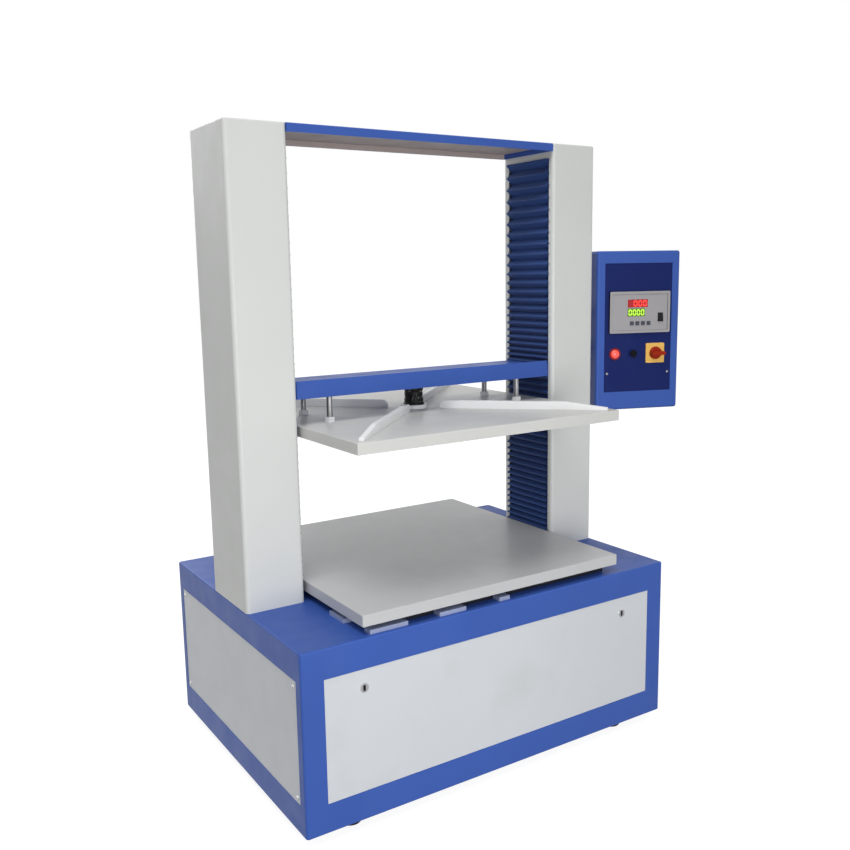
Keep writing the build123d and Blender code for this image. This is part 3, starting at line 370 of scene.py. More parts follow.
# Nearly black steel packers under the lower platen; their darkness is partly real and partly painted shade
# for the gap under the platen.
DARK_STEEL_PAINTED_SHADE = Finish("dark_steel", linear(30, 32, 40), 0.5, grain=Grain.CAST, relief=0.0002, specular=0.2)
MOTOR_CASTING = Finish("motor_casting", linear(72, 78, 84), 0.5, 0.2, grain=Grain.CAST, relief=0.0003)
BLACK_RUBBER = Finish(
    "black_rubber", linear(26, 26, 28), 0.7, grain=Grain.SKIN, relief=0.0002, drift=0.2, specular=0.2,
)
BOOT_RUBBER = Finish(
    "boot_rubber", linear(18, 18, 20), 0.5, grain=Grain.CAST, relief=0.0008, drift=0.3,
    marks=1.0, mark_scale=150.0, mark_colour=linear(190, 188, 184), specular=0.25,
)
NAVY_ENAMEL = Finish(
    "navy_enamel", linear(16, 33, 90), 0.5, grain=Grain.ENAMEL, marks=0.08, mark_colour=linear(60, 70, 130),
    specular=0.15,
)
BLACK_PLASTIC = Finish("black_plastic", linear(18, 18, 21), 0.42, relief=0.00003, specular=0.2)
BUTTON_BLACK = Finish("button_black", linear(7, 8, 20), 0.45, relief=0.00003, specular=0.1)
METER_GREY = Finish("meter_grey", linear(158, 156, 158), 0.5, relief=0.00003, drift=0.03, specular=0.2)
KEY_GREY = Finish("key_grey", linear(70, 74, 84), 0.5, specular=0.2)
YELLOW_PLASTIC = Finish("yellow_plastic", linear(230, 184, 96), 0.45, specular=0.2)
RED_PLASTIC = Finish("red_plastic", linear(150, 40, 12), 0.42, specular=0.15)
RED_WINDOW = Glow("red_window", linear(150, 12, 20), 0.12, power=0.35)
GREEN_WINDOW = Glow("green_window", linear(92, 120, 40), 0.12, power=0.15)
RED_LED = Glow("red_led", linear(255, 60, 50), 0.4, power=1.2)
GREEN_LED = Glow("green_led", linear(170, 230, 60), 0.4, power=1.1)
LAMP_RING = Finish("lamp_ring", linear(128, 22, 16), 0.3, specular=0.3)
LAMP_RED = Glow("lamp_red", linear(228, 74, 62), 0.18, coat=0.6, power=0.45)


# Mesh making


def new_piece(
    name: str, mesh: bmesh.types.BMesh, finish: Finish, body: str, smooth: bool = True,
) -> bpy.types.Object:
    """Turns a finished mesh into a piece of the object.

    Args:
        name: The piece's name.
        mesh: The mesh, in the object's own frame. It is freed here.
        finish: The finish of the whole piece.
        body: The body that carries it, or an empty word for a piece left on no body.
        smooth: Whether shallow edges shade smoothly.

    Returns:
        The new object.
    """
    bmesh.ops.recalc_face_normals(mesh, faces=mesh.faces)
    data = bpy.data.meshes.new(name)
    mesh.to_mesh(data)
    mesh.free()
    data.materials.append(finish.material())
    if smooth:
        data.shade_smooth()
        data.set_sharp_from_angle(angle=PIECE_CREASE)
    piece = bpy.data.objects.new(name, data)
    bpy.context.scene.collection.objects.link(piece)
    if body:
        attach(piece, body)
    return piece


def frame_matrix(origin: Vector, x_axis: Vector, z_axis: Vector) -> Matrix:
    """The matrix that takes local points to a place with the given X and Z directions."""
    z_axis = z_axis.normalized()
    x_axis = x_axis.normalized()
    y_axis = z_axis.cross(x_axis)
    return Matrix.Translation(origin) @ Matrix((x_axis, y_axis, z_axis)).transposed().to_4x4()


def lathe(
    mesh: bmesh.types.BMesh, outline: Outline, place: Matrix, steps: int = 48,
    shape: Optional[Callable[[float, float, float], float]] = None,
) -> None:
    """Turns an outline about the local Z axis.

    Args:
        mesh: The mesh to add to.
        outline: Radius and height of each point, from one end on the axis to the other.
        place: Where the local frame stands.
        steps: Divisions round the axis.
        shape: Gives the height for a point, from its radius, its angle and its height.
    """
    rings = []
    for radius, height in outline:
        ring = []
        for step in range(steps if radius > AXIS_REACH else 1):
            angle = math.tau * step / steps
            level = shape(radius, angle, height) if shape else height
            spot = Vector((radius * math.cos(angle), radius * math.sin(angle), level))
            ring.append(mesh.verts.new(place @ spot))
        rings.append(ring)
    for low, high in zip(rings, rings[1:]):
        for step in range(steps):
            after = step + 1
            corners = [
                low[step % len(low)], low[after % len(low)], high[after % len(high)], high[step % len(high)],
            ]
            unique = list(dict.fromkeys(corners))
            if len(unique) > 2:
                mesh.faces.new(unique)


def prism(mesh: bmesh.types.BMesh, outline: Outline, place: Matrix, depth: float) -> None:
    """Extrudes a flat outline along the local Z axis.

    Args:
        mesh: The mesh to add to.
        outline: The corners in the local XY plane, in order.
        place: Where the local frame stands.
        depth: How far the outline is extruded.
    """
    base, top = (
        [mesh.verts.new(place @ Vector((x, y, level))) for x, y in outline] for level in (0, depth)
    )
    count = len(outline)
    for i in range(count):
        after = (i + 1) % count
        mesh.faces.new((base[i], base[after], top[after], top[i]))
    mesh.faces.new(base[::-1])
    mesh.faces.new(top)


def dress(frame: dict, finishes: dict[str, Finish]) -> None:
    """Gives each named node its finish and smooths its shallow edges."""
    for name, finish in finishes.items():
        data = frame["nodes"][name].data
        data.materials.clear()
        data.materials.append(finish.material())
        data.shade_smooth()
        data.set_sharp_from_angle(angle=NODE_CREASE)
        LOG.info("dressed %s in %s", name, finish.name)


def repaint(
    node: bpy.types.Object, finish: Finish, chosen: Callable[[bpy.types.MeshPolygon], bool],
) -> None:
    """Gives those faces of a node that a test picks another finish."""
    node.data.materials.append(finish.material())
    index = len(node.data.materials) - 1
    for polygon in node.data.polygons:
        if chosen(polygon):
            polygon.material_index = index


# Sub-assemblies


@dataclass
class CrossHeadScrew:
    """A pan-head screw with a cross recess."""

    head_radius: float
    head_height: float
    recess_reach: float
    recess_half: float
    recess_depth: float
    rings: int = 14
    steps: int = 48
    wall_share: float = 0.35

    def add(self, mesh: bmesh.types.BMesh, place: Matrix) -> None:
        """Adds one screw head, its base at the local origin and its top along local Z."""
        outline = [(self.head_radius, 0.0)]
        for i in range(self.rings + 1):
            radius = self.head_radius * (1 - i / self.rings)
            crown = math.sqrt(max(0.0, 1 - (radius / self.head_radius) ** 4))
            outline.append((radius, self.head_height * (self.wall_share + (1 - self.wall_share) * crown)))

        def sunk(radius: float, angle: float, height: float) -> float:
            """The height with the cross cut out of it."""
            across = min(abs(radius * math.cos(angle)), abs(radius * math.sin(angle)))
            inside = radius < self.recess_reach and across < self.recess_half
            return height - self.recess_depth if inside and height > 0 else height

        lathe(mesh, outline, place, self.steps, sunk)


PANEL_SCREW = CrossHeadScrew(
    head_radius=0.004, head_height=0.0022, recess_reach=0.0024, recess_half=0.0006, recess_depth=0.0012,
)
FASCIA_SCREW = CrossHeadScrew(
    head_radius=0.003, head_height=0.0014, recess_reach=0.0018, recess_half=0.0005, recess_depth=0.0008,
)


@dataclass
class Cabinet:
    """The base: pan, cover, posts, panels, locks, feet, inlet and the screws of the panels."""

    screw_inset: float = 0.012
    pin_reach: float = 0.010
    pin_face_area: float = 1e-4
    slot_width: float = 0.0055
    slot_height: float = 0.0125
    slot_proud: float = 0.0003
    slot_steps: int = 6
    face_tilt: float = 0.95

    def build(self, frame: dict) -> None:
        """Dresses the nodes, makes the panel screws, and lays black sheets of painted shade over the locks'
        key slots.
        """
        dress(frame, {
            "base_pan": BLUE_ENAMEL, "base_top_cover": BLUE_ENAMEL, "corner_posts": BLUE_ENAMEL,
            "front_panel": PANEL_ENAMEL, "rear_panel": PANEL_ENAMEL, "left_panel": PANEL_ENAMEL,
            "right_panel": PANEL_ENAMEL, "left_panel_lock": CHROME, "right_panel_lock": CHROME,
            "rubber_feet": BLACK_RUBBER, "mains_inlet": BLACK_PLASTIC,
        })
        self.plate_inlet_pins(frame)
        self.panel_screws()
        for side in Side:
            self.lock_slot(frame, side)

    def lock_slot(self, frame: dict, side: Side) -> None:
        """Dulls one panel lock's face inside its bright rim, and lays a thin black sheet on it as painted
        shade for the key slot's recess.
        """
        low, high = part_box(f"{side.label}_panel_lock")
        radius = (high.x - low.x) / 2
        centre = Vector(((low.x + high.x) / 2, low.y, low.z + radius))
        end = self.slot_width / 2
        straight = self.slot_height / 2 - end
        outline = []
        for quarter, up in ((0, straight), (1, -straight)):
            for i in range(self.slot_steps + 1):
                angle = math.pi * (quarter + i / self.slot_steps)
                outline.append((end * math.cos(angle), up + end * math.sin(angle)))
        # A thin black sheet just proud of the lock's face: painted shade for the dark recess of the key slot.
        mesh = bmesh.new()
        prism(mesh, outline, frame_matrix(centre, ACROSS, FORWARD), self.slot_proud)
        repaint(
            frame["nodes"][f"{side.label}_panel_lock"], LOCK_STEEL,
            lambda polygon: polygon.normal.dot(FORWARD) > self.face_tilt,
        )
        slot = new_piece(f"{side.label}_lock_slot", mesh, BLACK_PLASTIC, f"{side.label}_lock", smooth=False)

    def plate_inlet_pins(self, frame: dict) -> None:
        """Gives the three pins inside the inlet's socket a metal finish."""
        low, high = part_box("mains_inlet")
        middle = (low + high) / 2

        def is_pin(polygon: bpy.types.MeshPolygon) -> bool:
            """Whether a face lies within the pins' span, clear of the socket's walls."""
            away = polygon.center - middle
            within = abs(away.x) < self.pin_reach and abs(away.z) < self.pin_reach / 2
            return within and polygon.area < self.pin_face_area

        repaint(frame["nodes"]["mains_inlet"], STEEL, is_pin)

    def panel_screws(self) -> None:
        """Makes the heads of the screws at the corners of the side and rear panels."""
        mesh = bmesh.new()
        for node, outward in (("left_panel", -ACROSS), ("right_panel", ACROSS), ("rear_panel", -FORWARD)):
            low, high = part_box(node)
            across = UP.cross(outward)
            half = (high - low) / 2
            centre = (low + high) / 2
            width = abs(half.dot(across)) - self.screw_inset
            height = half.z - self.screw_inset
            face = centre + outward * abs(half.dot(outward))
            for right in (-1, 1):
                for up in (-1, 1):
                    spot = face + across * right * width + UP * up * height
                    PANEL_SCREW.add(mesh, frame_matrix(spot, across, outward))
        piece = new_piece("panel_screw_heads", mesh, STEEL, "frame")
        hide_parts("panel_screws")


@dataclass
class Columns:
    """The column covers, the top beam and what stands inside the columns."""

    def build(self, frame: dict) -> None:
        """Dresses the nodes."""
        dress(frame, {
            "left_column_cover": PALE_ENAMEL, "right_column_cover": PALE_ENAMEL, "top_beam": BLUE_ENAMEL,
            "top_beam_liner": LINER_PAINTED_SHADE, "column_end_plates": STEEL, "screw_bearings": STEEL,
            "guide_shafts": CHROME, "left_lead_screw": STEEL, "right_lead_screw": STEEL,
        })


@dataclass
class Drive:
    """The motor, pulleys and belt in the cabinet."""

    def build(self, frame: dict) -> None:
        """Dresses the nodes."""
        dress(frame, {
            "motor": MOTOR_CASTING, "motor_pulley": STEEL, "left_screw_pulley": STEEL,
            "right_screw_pulley": STEEL, "drive_belt": BLACK_RUBBER,
        })


@dataclass
class Bellows:
    """One pleated sheet in a column's window, cut into lengths."""

    side: Side
    level: Level
    pleats: int
    growth: float
    fold_radius: float = 0.0012
    clamp_height: float = 0.003
    lengths: int = 8
    thickness: float = 0.0011
    outer_roundness: float = 0.8
    slack: float = 0.06
    slope_shares: tuple[float, float] = (0.35, 0.65)
    slope_rise: float = 0.95
    outer_steps: int = 3
    valley_steps: int = 4
    wave_steps: int = 12
    wave_scale: tuple[float, float, float] = (40.0, 14.0, 26.0)
    wave_height: float = 0.0009

    @property
    def node(self) -> str:
        """The name of the node that this bellows stands for."""
        return f"{self.side.label}_{self.level.value}_bellows"

    def folds(self, low: float, high: float) -> list[float]:
        """Heights of the outer folds, closer together at one end than at the other."""
        weights = [1 + (self.growth - 1) * i / (self.pleats - 1) for i in range(self.pleats)]
        unit = (high - low) / sum(weights)
        levels = [low]
        for weight in weights:
            levels.append(levels[-1] + weight * unit)
        return levels

    def pleat(self, outer: float, valley: float, low: float, high: float) -> Outline:
        """The section of one pleat, from one outer fold to the next, with rounded folds."""
        middle = (low + high) / 2
        rise = middle - low
        depth = valley - outer
        radius = min(self.fold_radius, rise / 4)
        slack = self.slack * depth
        outer_fold = []
        for i in range(self.outer_steps + 1):
            angle = math.radians(90) * i / self.outer_steps
            inward = radius * (1 - math.cos(angle)) * self.outer_roundness
            outer_fold.append((outer + inward, radius * math.sin(angle)))
        slope = [
            (outer + depth * share + slack * (1 - share), radius + (rise - radius) * share * self.slope_rise)
            for share in self.slope_shares
        ]
        half = outer_fold + slope
        valley_fold = []
        for i in range(self.valley_steps + 1):
            angle = math.radians(180) * i / self.valley_steps
            valley_fold.append((valley - radius * (1 - math.sin(angle)), middle - radius * math.cos(angle)))
        return [(x, low + z) for x, z in half] + valley_fold + [(x, high - z) for x, z in half[::-1]]

    def build(self) -> None:
        """Makes the clamps at both ends and the lengths of cloth between them."""
        low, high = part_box(self.node)
        cloth_low = low.z + self.clamp_height
        cloth_high = high.z - self.clamp_height
        folds = self.folds(cloth_low, cloth_high)
        near, far = (high.x, low.x) if self.side is Side.LEFT else (low.x, high.x)
        toward = math.copysign(1, far - near)
        depth = abs(far - near)
        bounds = [round(i * self.pleats / self.lengths) for i in range(self.lengths + 1)]
        first = None
        for index, (start, stop) in enumerate(zip(bounds, bounds[1:])):
            profile = []
            for i in range(start, stop):
                section = self.pleat(0.0, depth - self.thickness, folds[i], folds[i + 1])
                profile += section if not profile else section[1:]
            piece = self.cloth(index, [(near + toward * x, z) for x, z in profile], low.y, high.y)
            self.stretch(piece, folds[start], folds[stop], cloth_low, cloth_high)
            first = first or piece
        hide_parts(self.node)
        fixed, moving = ("frame", "crosshead") if self.level is Level.LOWER else ("crosshead", "frame")
        self.clamp("low_clamp", fixed, low, high, low.z)
        self.clamp("high_clamp", moving, low, high, high.z - self.clamp_height)
        LOG.info("made %s with %d pleats", self.node, self.pleats)

    def cloth(self, index: int, profile: Outline, front: float, back: float) -> bpy.types.Object:
        """One length of cloth, with a slight wave along its folds."""
        mesh = bmesh.new()
        scale_x, scale_y, scale_z = self.wave_scale
        rows = []
        for step in range(self.wave_steps + 1):
            y = front + (back - front) * step / self.wave_steps
            edge = math.sin(math.pi * step / self.wave_steps)
            row = []
            for x, z in profile:
                wave = noise.noise(Vector((x * scale_x, y * scale_y, z * scale_z))) * self.wave_height
                row.append(mesh.verts.new((x + wave * edge * self.side.value, y, z)))
            rows.append(row)
        for before, after in zip(rows, rows[1:]):
            for i in range(len(profile) - 1):
                mesh.faces.new((before[i], before[i + 1], after[i + 1], after[i]))
        bmesh.ops.recalc_face_normals(mesh, faces=mesh.faces)
        bmesh.ops.solidify(mesh, geom=mesh.faces[:], thickness=self.thickness / 2)
        return new_piece(f"{self.node}_{index + 1}", mesh, BELLOWS_CLOTH, "")

    def stretch(
        self, piece: bpy.types.Object, low: float, high: float, end_low: float, end_high: float,
    ) -> None:
        """Bakes a length's placement into its mesh."""
        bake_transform(piece)

    def clamp(self, label: str, body: str, low: Vector, high: Vector, z: float) -> None:
        """The strip that holds one end of the cloth."""
        mesh = bmesh.new()
        corners = [(low.x, low.y), (high.x, low.y), (high.x, high.y), (low.x, high.y)]
        prism(mesh, corners, Matrix.Translation((0, 0, z)), self.clamp_height)
        piece = new_piece(f"{self.node}_{label}", mesh, BELLOWS_CLOTH, body, smooth=False)


@dataclass
class Crosshead:
    """The moving beam, the load cell in its boot, the guide rods and the ribbed upper platen."""

    flange_height: float = 0.0085
    boot_steps: int = 72
    boot_rows: int = 40
    boot_bore: float = 0.72
    boot_waist: float = 0.86
    waist_spread: float = 0.7
    folds: int = 4
    fold_depth: float = 0.018
    boot_limit: float = 0.995
    crease_scale: float = 160.0
    crease_depth: float = 0.0006
    still_rim: float = 0.004

    def build(self, frame: dict) -> None:
        """Dresses the nodes and makes the boot."""
        dress(frame, {
            "crosshead_beam": BLUE_ENAMEL, "carriages": STEEL, "screw_nuts": BRONZE, "guide_bushes": BRONZE,
            "load_cell": STEEL, "platen_guide_rods": ROD_STEEL, "rod_nuts": PAINTED_LIGHT_ENAMEL,
            "upper_platen": PLATEN_ENAMEL, "platen_ribs": PAINTED_LIGHT_ENAMEL,
        })
        self.flange(frame)
        self.boot()

    def flange(self, frame: dict) -> None:
        """Paints the load cell's flange in the lighter copy of the platen enamel, whose extra lightness is
        painted light.
        """
        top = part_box("load_cell")[0].z + self.flange_height
        repaint(frame["nodes"]["load_cell"], PAINTED_LIGHT_ENAMEL, lambda polygon: polygon.center.z < top)

    def boot(self) -> None:
        """The waisted rubber boot round the load cell, with soft wrinkles."""
        low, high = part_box("load_cell_boot")
        radius = (high.x - low.x) / 2
        mesh = bmesh.new()
        inner = radius * self.boot_bore
        rows = [(inner, low.z)]
        for row in range(self.boot_rows + 1):
            share = row / self.boot_rows
            neck = 1 - (1 - self.boot_waist) * math.sin(math.pi * share) ** self.waist_spread
            fold = self.fold_depth * (math.cos(math.tau * self.folds * share) - 1)
            rows.append((radius * min(self.boot_limit, neck + fold), low.z + (high.z - low.z) * share))
        rows.append((inner, high.z))
        lathe(mesh, rows, Matrix.Identity(4), self.boot_steps)
        for vert in mesh.verts:
            reach = math.hypot(vert.co.x, vert.co.y)
            crease = noise.noise(vert.co * self.crease_scale) * self.crease_depth
            edge = min(1.0, (vert.co.z - low.z) / self.still_rim, (high.z - vert.co.z) / self.still_rim)
            vert.co.x *= 1 + crease * edge / reach
            vert.co.y *= 1 + crease * edge / reach
        piece = new_piece("load_cell_boot_wrinkled", mesh, BOOT_RUBBER, "crosshead")
        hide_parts("load_cell_boot")


@dataclass
class LowerPlaten:
    """The platen that the test box stands on, with its supports and shims."""

    def build(self, frame: dict) -> None:
        """Dresses the nodes."""
        dress(frame, {
            "lower_platen": LOWER_ENAMEL, "platen_supports": DARK_STEEL_PAINTED_SHADE, "platen_shims": SHIM_PLATE,
        })


@dataclass
class SevenSegment:
    """One LED digit: its height and width, the width of a segment and how far it stands proud."""

    height: float
    width: float
    stroke: float
    depth: float = 0.0003
    tip_gap: float = 0.12

    shapes: ClassVar[dict[str, str]] = {
        "0": "abcdef", "1": "bc", "2": "abged", "3": "abgcd", "4": "fgbc",
        "5": "afgcd", "6": "afgedc", "7": "abc", "8": "abcdefg", "9": "abcdfg", " ": "",
    }

    def segment(self, letter: str) -> Outline:
        """The outline of one segment, a bar with pointed ends, about the digit's middle."""
        half_w = self.width / 2 - self.stroke / 2
        half_h = self.height / 2 - self.stroke / 2
        middles = {
            "a": (0, half_h), "g": (0, 0), "d": (0, -half_h),
            "b": (half_w, half_h / 2), "c": (half_w, -half_h / 2),
            "f": (-half_w, half_h / 2), "e": (-half_w, -half_h / 2),
        }
        x, y = middles[letter]
        upright = letter in "bcef"
        reach = (half_h / 2 if upright else half_w) - self.stroke * self.tip_gap
        side = self.stroke / 2
        bar = [
            (-reach, 0), (-reach + side, -side), (reach - side, -side),
            (reach, 0), (reach - side, side), (-reach + side, side),
        ]
        return [(x + (b if upright else a), y + (-a if upright else b)) for a, b in bar]

    def add(self, mesh: bmesh.types.BMesh, character: str, place: Matrix) -> None:
        """Adds the segments of one character."""
        for letter in self.shapes[character]:
            prism(mesh, self.segment(letter), place, self.depth)


@dataclass
class ControlHead:
    """The control box on its swivel, with the indicator, lamp, button and main switch.

    Its parts are placed by three measures: across the box's face, outwards from it and up.
    """

    frame: dict
    outward: Vector = field(init=False)
    across: Vector = field(init=False)
    rim_depth: float = 0.001
    face_tilt: float = 0.9
    digits_red: str = " 000"
    digits_green: str = "0000"
    digit_margin: float = 0.2
    digit_height: float = 0.76
    digit_width: float = 0.80
    digit_stroke: float = 0.20
    lamp_reach: float = 0.009
    bezel_height: float = 0.003
    bezel_lip: float = 0.3
    bezel_outer: float = 0.95
    bezel_inner: float = 0.80
    bezel_seat: float = 0.76
    bezel_steps: int = 64
    lens_share: float = 0.74
    lens_steps: int = 48
    dome_steps: int = 8

    def __post_init__(self) -> None:
        """Finds the way that the box faces, from the joint of its push button."""
        joint = next(j for j in self.frame["joints"] if j["name"] == "button_press")
        self.outward = -Vector(joint["axis"]).normalized()
        self.across = UP.cross(self.outward)

    def build(self) -> None:
        """Dresses the nodes and makes the displays, the lamp and the small parts."""
        keys = {f"indicator_key_{i}": KEY_GREY for i in range(1, 5)}
        dress(self.frame, {
            "control_box": BLUE_ENAMEL, "hinge_lug": BLUE_ENAMEL, "swivel_bracket": BLUE_ENAMEL,
            "control_fascia": NAVY_ENAMEL, "indicator_housing": BLACK_PLASTIC, "indicator_face": METER_GREY,
            "indicator_lenses": RED_WINDOW, "rocker_switch": BLACK_PLASTIC, "push_button": BUTTON_BLACK,
            "switch_plate": YELLOW_PLASTIC, "switch_knob": RED_PLASTIC, **keys,
        })
        self.rim()
        self.displays()
        self.lamp()
        self.fascia_screws()

    def corners(self, node: str) -> list[Vector]:
        """The points of a node's mesh."""
        return [v.co.copy() for v in self.frame["nodes"][node].data.vertices]

    def extent(self, points: list[Vector]) -> tuple[Vector, Vector]:
        """Lowest and highest of some points, measured across, outwards and up."""
        local = [Vector((p.dot(self.across), p.dot(self.outward), p.z)) for p in points]
        low = Vector((min(p[i] for p in local) for i in range(3)))
        high = Vector((max(p[i] for p in local) for i in range(3)))
        return low, high

    def place(self, across: float, outward: float, up: float) -> Matrix:
        """The place of a part that faces outwards, by its three measures."""
        spot = self.across * across + self.outward * outward + UP * up
        return frame_matrix(spot, self.across, self.outward)

    def rim(self) -> None:
        """Paints the front rim of the indicator's housing like its face."""
        front = self.extent(self.corners("indicator_housing"))[1].y - self.rim_depth

        def is_rim(polygon: bpy.types.MeshPolygon) -> bool:
            """Whether a face looks outwards at the very front of the housing."""
            outer = polygon.center.dot(self.outward) > front
            return outer and polygon.normal.dot(self.outward) > self.face_tilt

        repaint(self.frame["nodes"]["indicator_housing"], METER_GREY, is_rim)

    def displays(self) -> None:
        """Lights the digits in the two windows."""
        low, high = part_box("indicator_lenses")
        middle = (low.z + high.z) / 2
        repaint(
            self.frame["nodes"]["indicator_lenses"], GREEN_WINDOW, lambda polygon: polygon.center.z < middle,
        )
        points = self.corners("indicator_lenses")
        upper = [point for point in points if point.z > middle]
        lower = [point for point in points if point.z < middle]
        for label, characters, window, finish in (
            ("red", self.digits_red, upper, RED_LED), ("green", self.digits_green, lower, GREEN_LED),
        ):
            low, high = self.extent(window)
            size = high - low
            pitch = size.x / (len(characters) + self.digit_margin)
            digit = SevenSegment(
                size.z * self.digit_height, pitch * self.digit_width, pitch * self.digit_stroke,
            )
            mesh = bmesh.new()
            for i, character in enumerate(characters):
                across = low.x + size.x / 2 + (i - (len(characters) - 1) / 2) * pitch
                digit.add(mesh, character, self.place(across, high.y, (low.z + high.z) / 2))
            piece = new_piece(f"{label}_digits", mesh, finish, "control_head", smooth=False)

    def lamp(self) -> None:
        """The pilot lamp: a bezel on its barrel, and a domed lens."""
        low, high = self.extent(self.corners("pilot_lamp"))
        base = self.place((low.x + high.x) / 2, low.y, (low.z + high.z) / 2)
        height = high.y - low.y
        radius = (high.z - low.z) / 2
        seat = height - self.lamp_reach
        rim = seat + self.bezel_height
        sunk = rim - self.bezel_height * self.bezel_lip
        lens = radius * self.lens_share
        mesh = bmesh.new()
        lathe(mesh, [
            (0, 0), (lens, 0), (lens, seat), (radius, seat), (radius, sunk), (radius * self.bezel_outer, rim),
            (radius * self.bezel_inner, rim), (radius * self.bezel_seat, sunk), (0, sunk),
        ], base, self.bezel_steps)
        bezel = new_piece("lamp_bezel", mesh, LAMP_RING, "control_head")
        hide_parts("pilot_lamp")
        mesh = bmesh.new()
        dome = [(0, sunk), (lens, sunk), (lens, rim)]
        for i in range(1, self.dome_steps):
            angle = math.radians(90) * i / self.dome_steps
            dome.append((lens * math.cos(angle), rim + (height - rim) * math.sin(angle)))
        dome.append((0, height))
        lathe(mesh, dome, base, self.lens_steps)
        new_piece("lamp_lens", mesh, LAMP_RED, "control_head")

    def fascia_screws(self) -> None:
        """The two screws of the fascia."""
        low, high = self.extent(self.corners("fascia_screws"))
        radius = (high.z - low.z) / 2
        mesh = bmesh.new()
        for across in (low.x + radius, high.x - radius):
            FASCIA_SCREW.add(mesh, self.place(across, high.y - FASCIA_SCREW.head_height, low.z + radius))
        piece = new_piece("fascia_screw_heads", mesh, ROD_STEEL, "control_head")
        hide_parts("fascia_screws")


# The room


@dataclass(frozen=True)
class Lamp:
    """A square lamp: where it hangs, the point that it looks at, its side and its power."""

    name: str
    place: tuple[float, float, float]
    target: tuple[float, float, float]
    size: float
    power: float

    def build(self) -> None:
        """Hangs the lamp in the room."""
        data = bpy.data.lights.new(self.name, "AREA")
        data.size = self.size
        data.energy = self.power
        lamp = bpy.data.objects.new(self.name, data)
        lamp.location = self.place
        forward = Vector(self.target) - Vector(self.place)
        lamp.rotation_euler = forward.to_track_quat("-Z", "Y").to_euler()
        bpy.context.scene.collection.objects.link(lamp)


LAMPS = (
    Lamp("key_lamp", place=(-0.5, -2.0, 0.1), target=(-0.2, 0, 0.1), size=0.9, power=14.5),
    Lamp("front_lamp", place=(-0.6, -3.2, 0.7), target=(0, 0, 0.3), size=1.4, power=19.0),
    Lamp("high_lamp", place=(-1.3, -0.9, 3.3), target=(0, 0, 0.2), size=1.6, power=48.0),
    Lamp("back_lamp", place=(-0.4, 3.2, 1.7), target=(0, 0, 0.2), size=1.6, power=30.0),
)


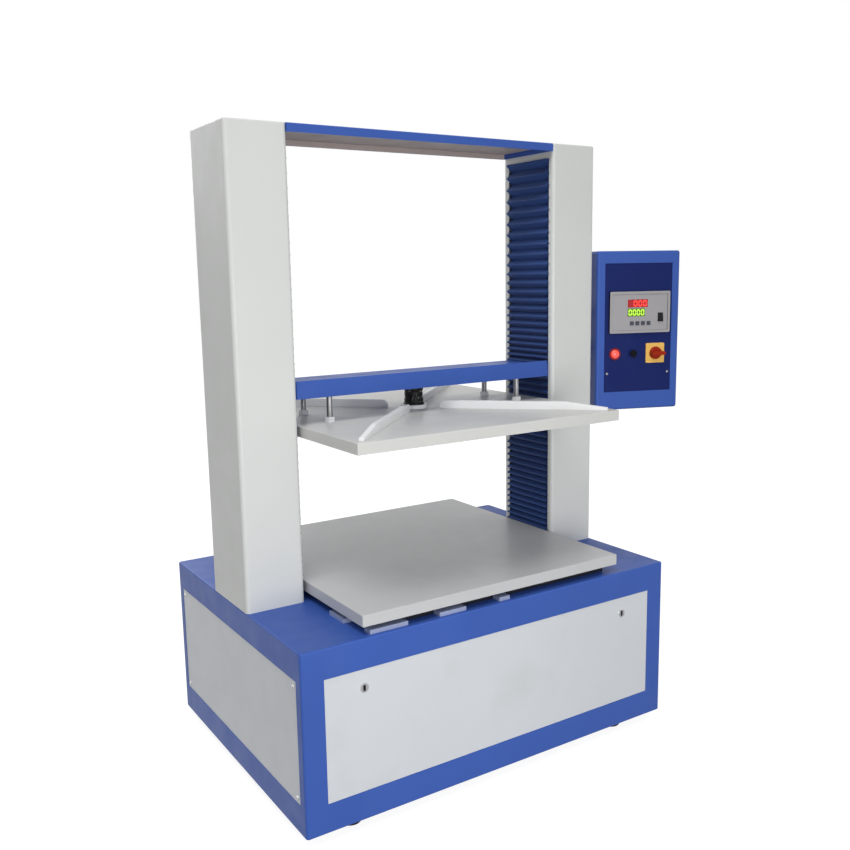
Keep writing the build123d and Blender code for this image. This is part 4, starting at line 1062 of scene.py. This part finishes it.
@dataclass
class Studio:
    """The camera, the lamps, the pale floor and the white room."""

    camera_place: tuple[float, float, float] = (-1.0850, -1.7296, 0.6127)
    yaw: float = math.radians(32.78)
    pitch: float = math.radians(-9.302)
    roll: float = math.radians(-0.991)
    lens: float = 39.14
    sensor_width: float = 36.0
    clip_end: float = 100.0
    floor_size: float = 30.0
    floor_grey: float = 0.25
    floor_roughness: float = 0.9
    floor_lift: float = 0.88
    fill: float = 0.47

    def build(self) -> None:
        """Sets up everything that isn't part of the object."""
        self.camera()
        self.world()
        self.floor()
        for lamp in LAMPS:
            lamp.build()
        bpy.context.scene.view_settings.view_transform = "Standard"

    def camera(self) -> None:
        """Places the camera at the photograph's view."""
        level = Vector((math.cos(self.yaw), -math.sin(self.yaw), 0))
        ahead = Vector((math.sin(self.yaw), math.cos(self.yaw), 0))
        forward = ahead * math.cos(self.pitch) + UP * math.sin(self.pitch)
        up = level.cross(forward)
        right = level * math.cos(self.roll) + up * math.sin(self.roll)
        top = up * math.cos(self.roll) - level * math.sin(self.roll)
        data = bpy.data.cameras.new("camera")
        data.lens = self.lens
        data.sensor_width = self.sensor_width
        data.clip_end = self.clip_end
        camera = bpy.data.objects.new("camera", data)
        turn = Matrix((right, top, -forward)).transposed().to_4x4()
        camera.matrix_world = Matrix.Translation(self.camera_place) @ turn
        bpy.context.scene.collection.objects.link(camera)
        bpy.context.scene.camera = camera

    def seen(self, tree: bpy.types.NodeTree) -> bpy.types.NodeSocket:
        """An output of 1 for the eye's rays and for those of metal and glass, and 0 for the others."""
        paths = tree.nodes.new("ShaderNodeLightPath")
        chosen = paths.outputs["Is Camera Ray"]
        for ray in ("Is Glossy Ray", "Is Transmission Ray"):
            either = tree.nodes.new("ShaderNodeMath")
            either.operation = "MAXIMUM"
            tree.links.new(chosen, either.inputs[0])
            tree.links.new(paths.outputs[ray], either.inputs[1])
            chosen = either.outputs[0]
        return chosen

    def world(self) -> None:
        """White to the eye and in reflections, and an even fill light on the object."""
        world = bpy.data.worlds.new("room")
        world.use_nodes = True
        bpy.context.scene.world = world
        tree = world.node_tree
        background = tree.nodes["Background"]
        background.inputs["Color"].default_value = (1, 1, 1, 1)
        strength = tree.nodes.new("ShaderNodeMapRange")
        strength.inputs["To Min"].default_value = self.fill
        strength.inputs["To Max"].default_value = 1.0
        tree.links.new(self.seen(tree), strength.inputs["Value"])
        tree.links.new(strength.outputs["Result"], background.inputs["Strength"])

    def floor(self) -> None:
        """A pale floor that looks white and keeps the object's soft shadow."""
        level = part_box("rubber_feet")[0].z
        half = self.floor_size / 2
        mesh = bmesh.new()
        corners = ((-half, -half), (half, -half), (half, half), (-half, half))
        mesh.faces.new([mesh.verts.new((x, y, level)) for x, y in corners])
        data = bpy.data.meshes.new("floor")
        mesh.to_mesh(data)
        mesh.free()
        material = bpy.data.materials.new("pale_floor")
        material.use_nodes = True
        tree = material.node_tree
        surface = tree.nodes["Principled BSDF"]
        surface.inputs["Base Color"].default_value = (self.floor_grey, self.floor_grey, self.floor_grey, 1)
        surface.inputs["Roughness"].default_value = self.floor_roughness
        lift = tree.nodes.new("ShaderNodeMath")
        lift.operation = "MULTIPLY"
        lift.inputs[1].default_value = self.floor_lift
        tree.links.new(self.seen(tree), lift.inputs[0])
        surface.inputs["Emission Color"].default_value = (1, 1, 1, 1)
        tree.links.new(lift.outputs[0], surface.inputs["Emission Strength"])
        data.materials.append(material)
        floor = bpy.data.objects.new("floor", data)
        bpy.context.scene.collection.objects.link(floor)


def main() -> None:
    """Builds each sub-assembly in turn."""
    logging.basicConfig(level=logging.INFO, format="%(message)s")
    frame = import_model()
    Studio().build()
    Cabinet().build(frame)
    Columns().build(frame)
    Drive().build(frame)
    for side in Side:
        Bellows(side, Level.UPPER, pleats=22, growth=2.2).build()
        Bellows(side, Level.LOWER, pleats=24, growth=1.35).build()
    Crosshead().build(frame)
    LowerPlaten().build(frame)
    ControlHead(frame).build()


if __name__ == "__main__":
    main()
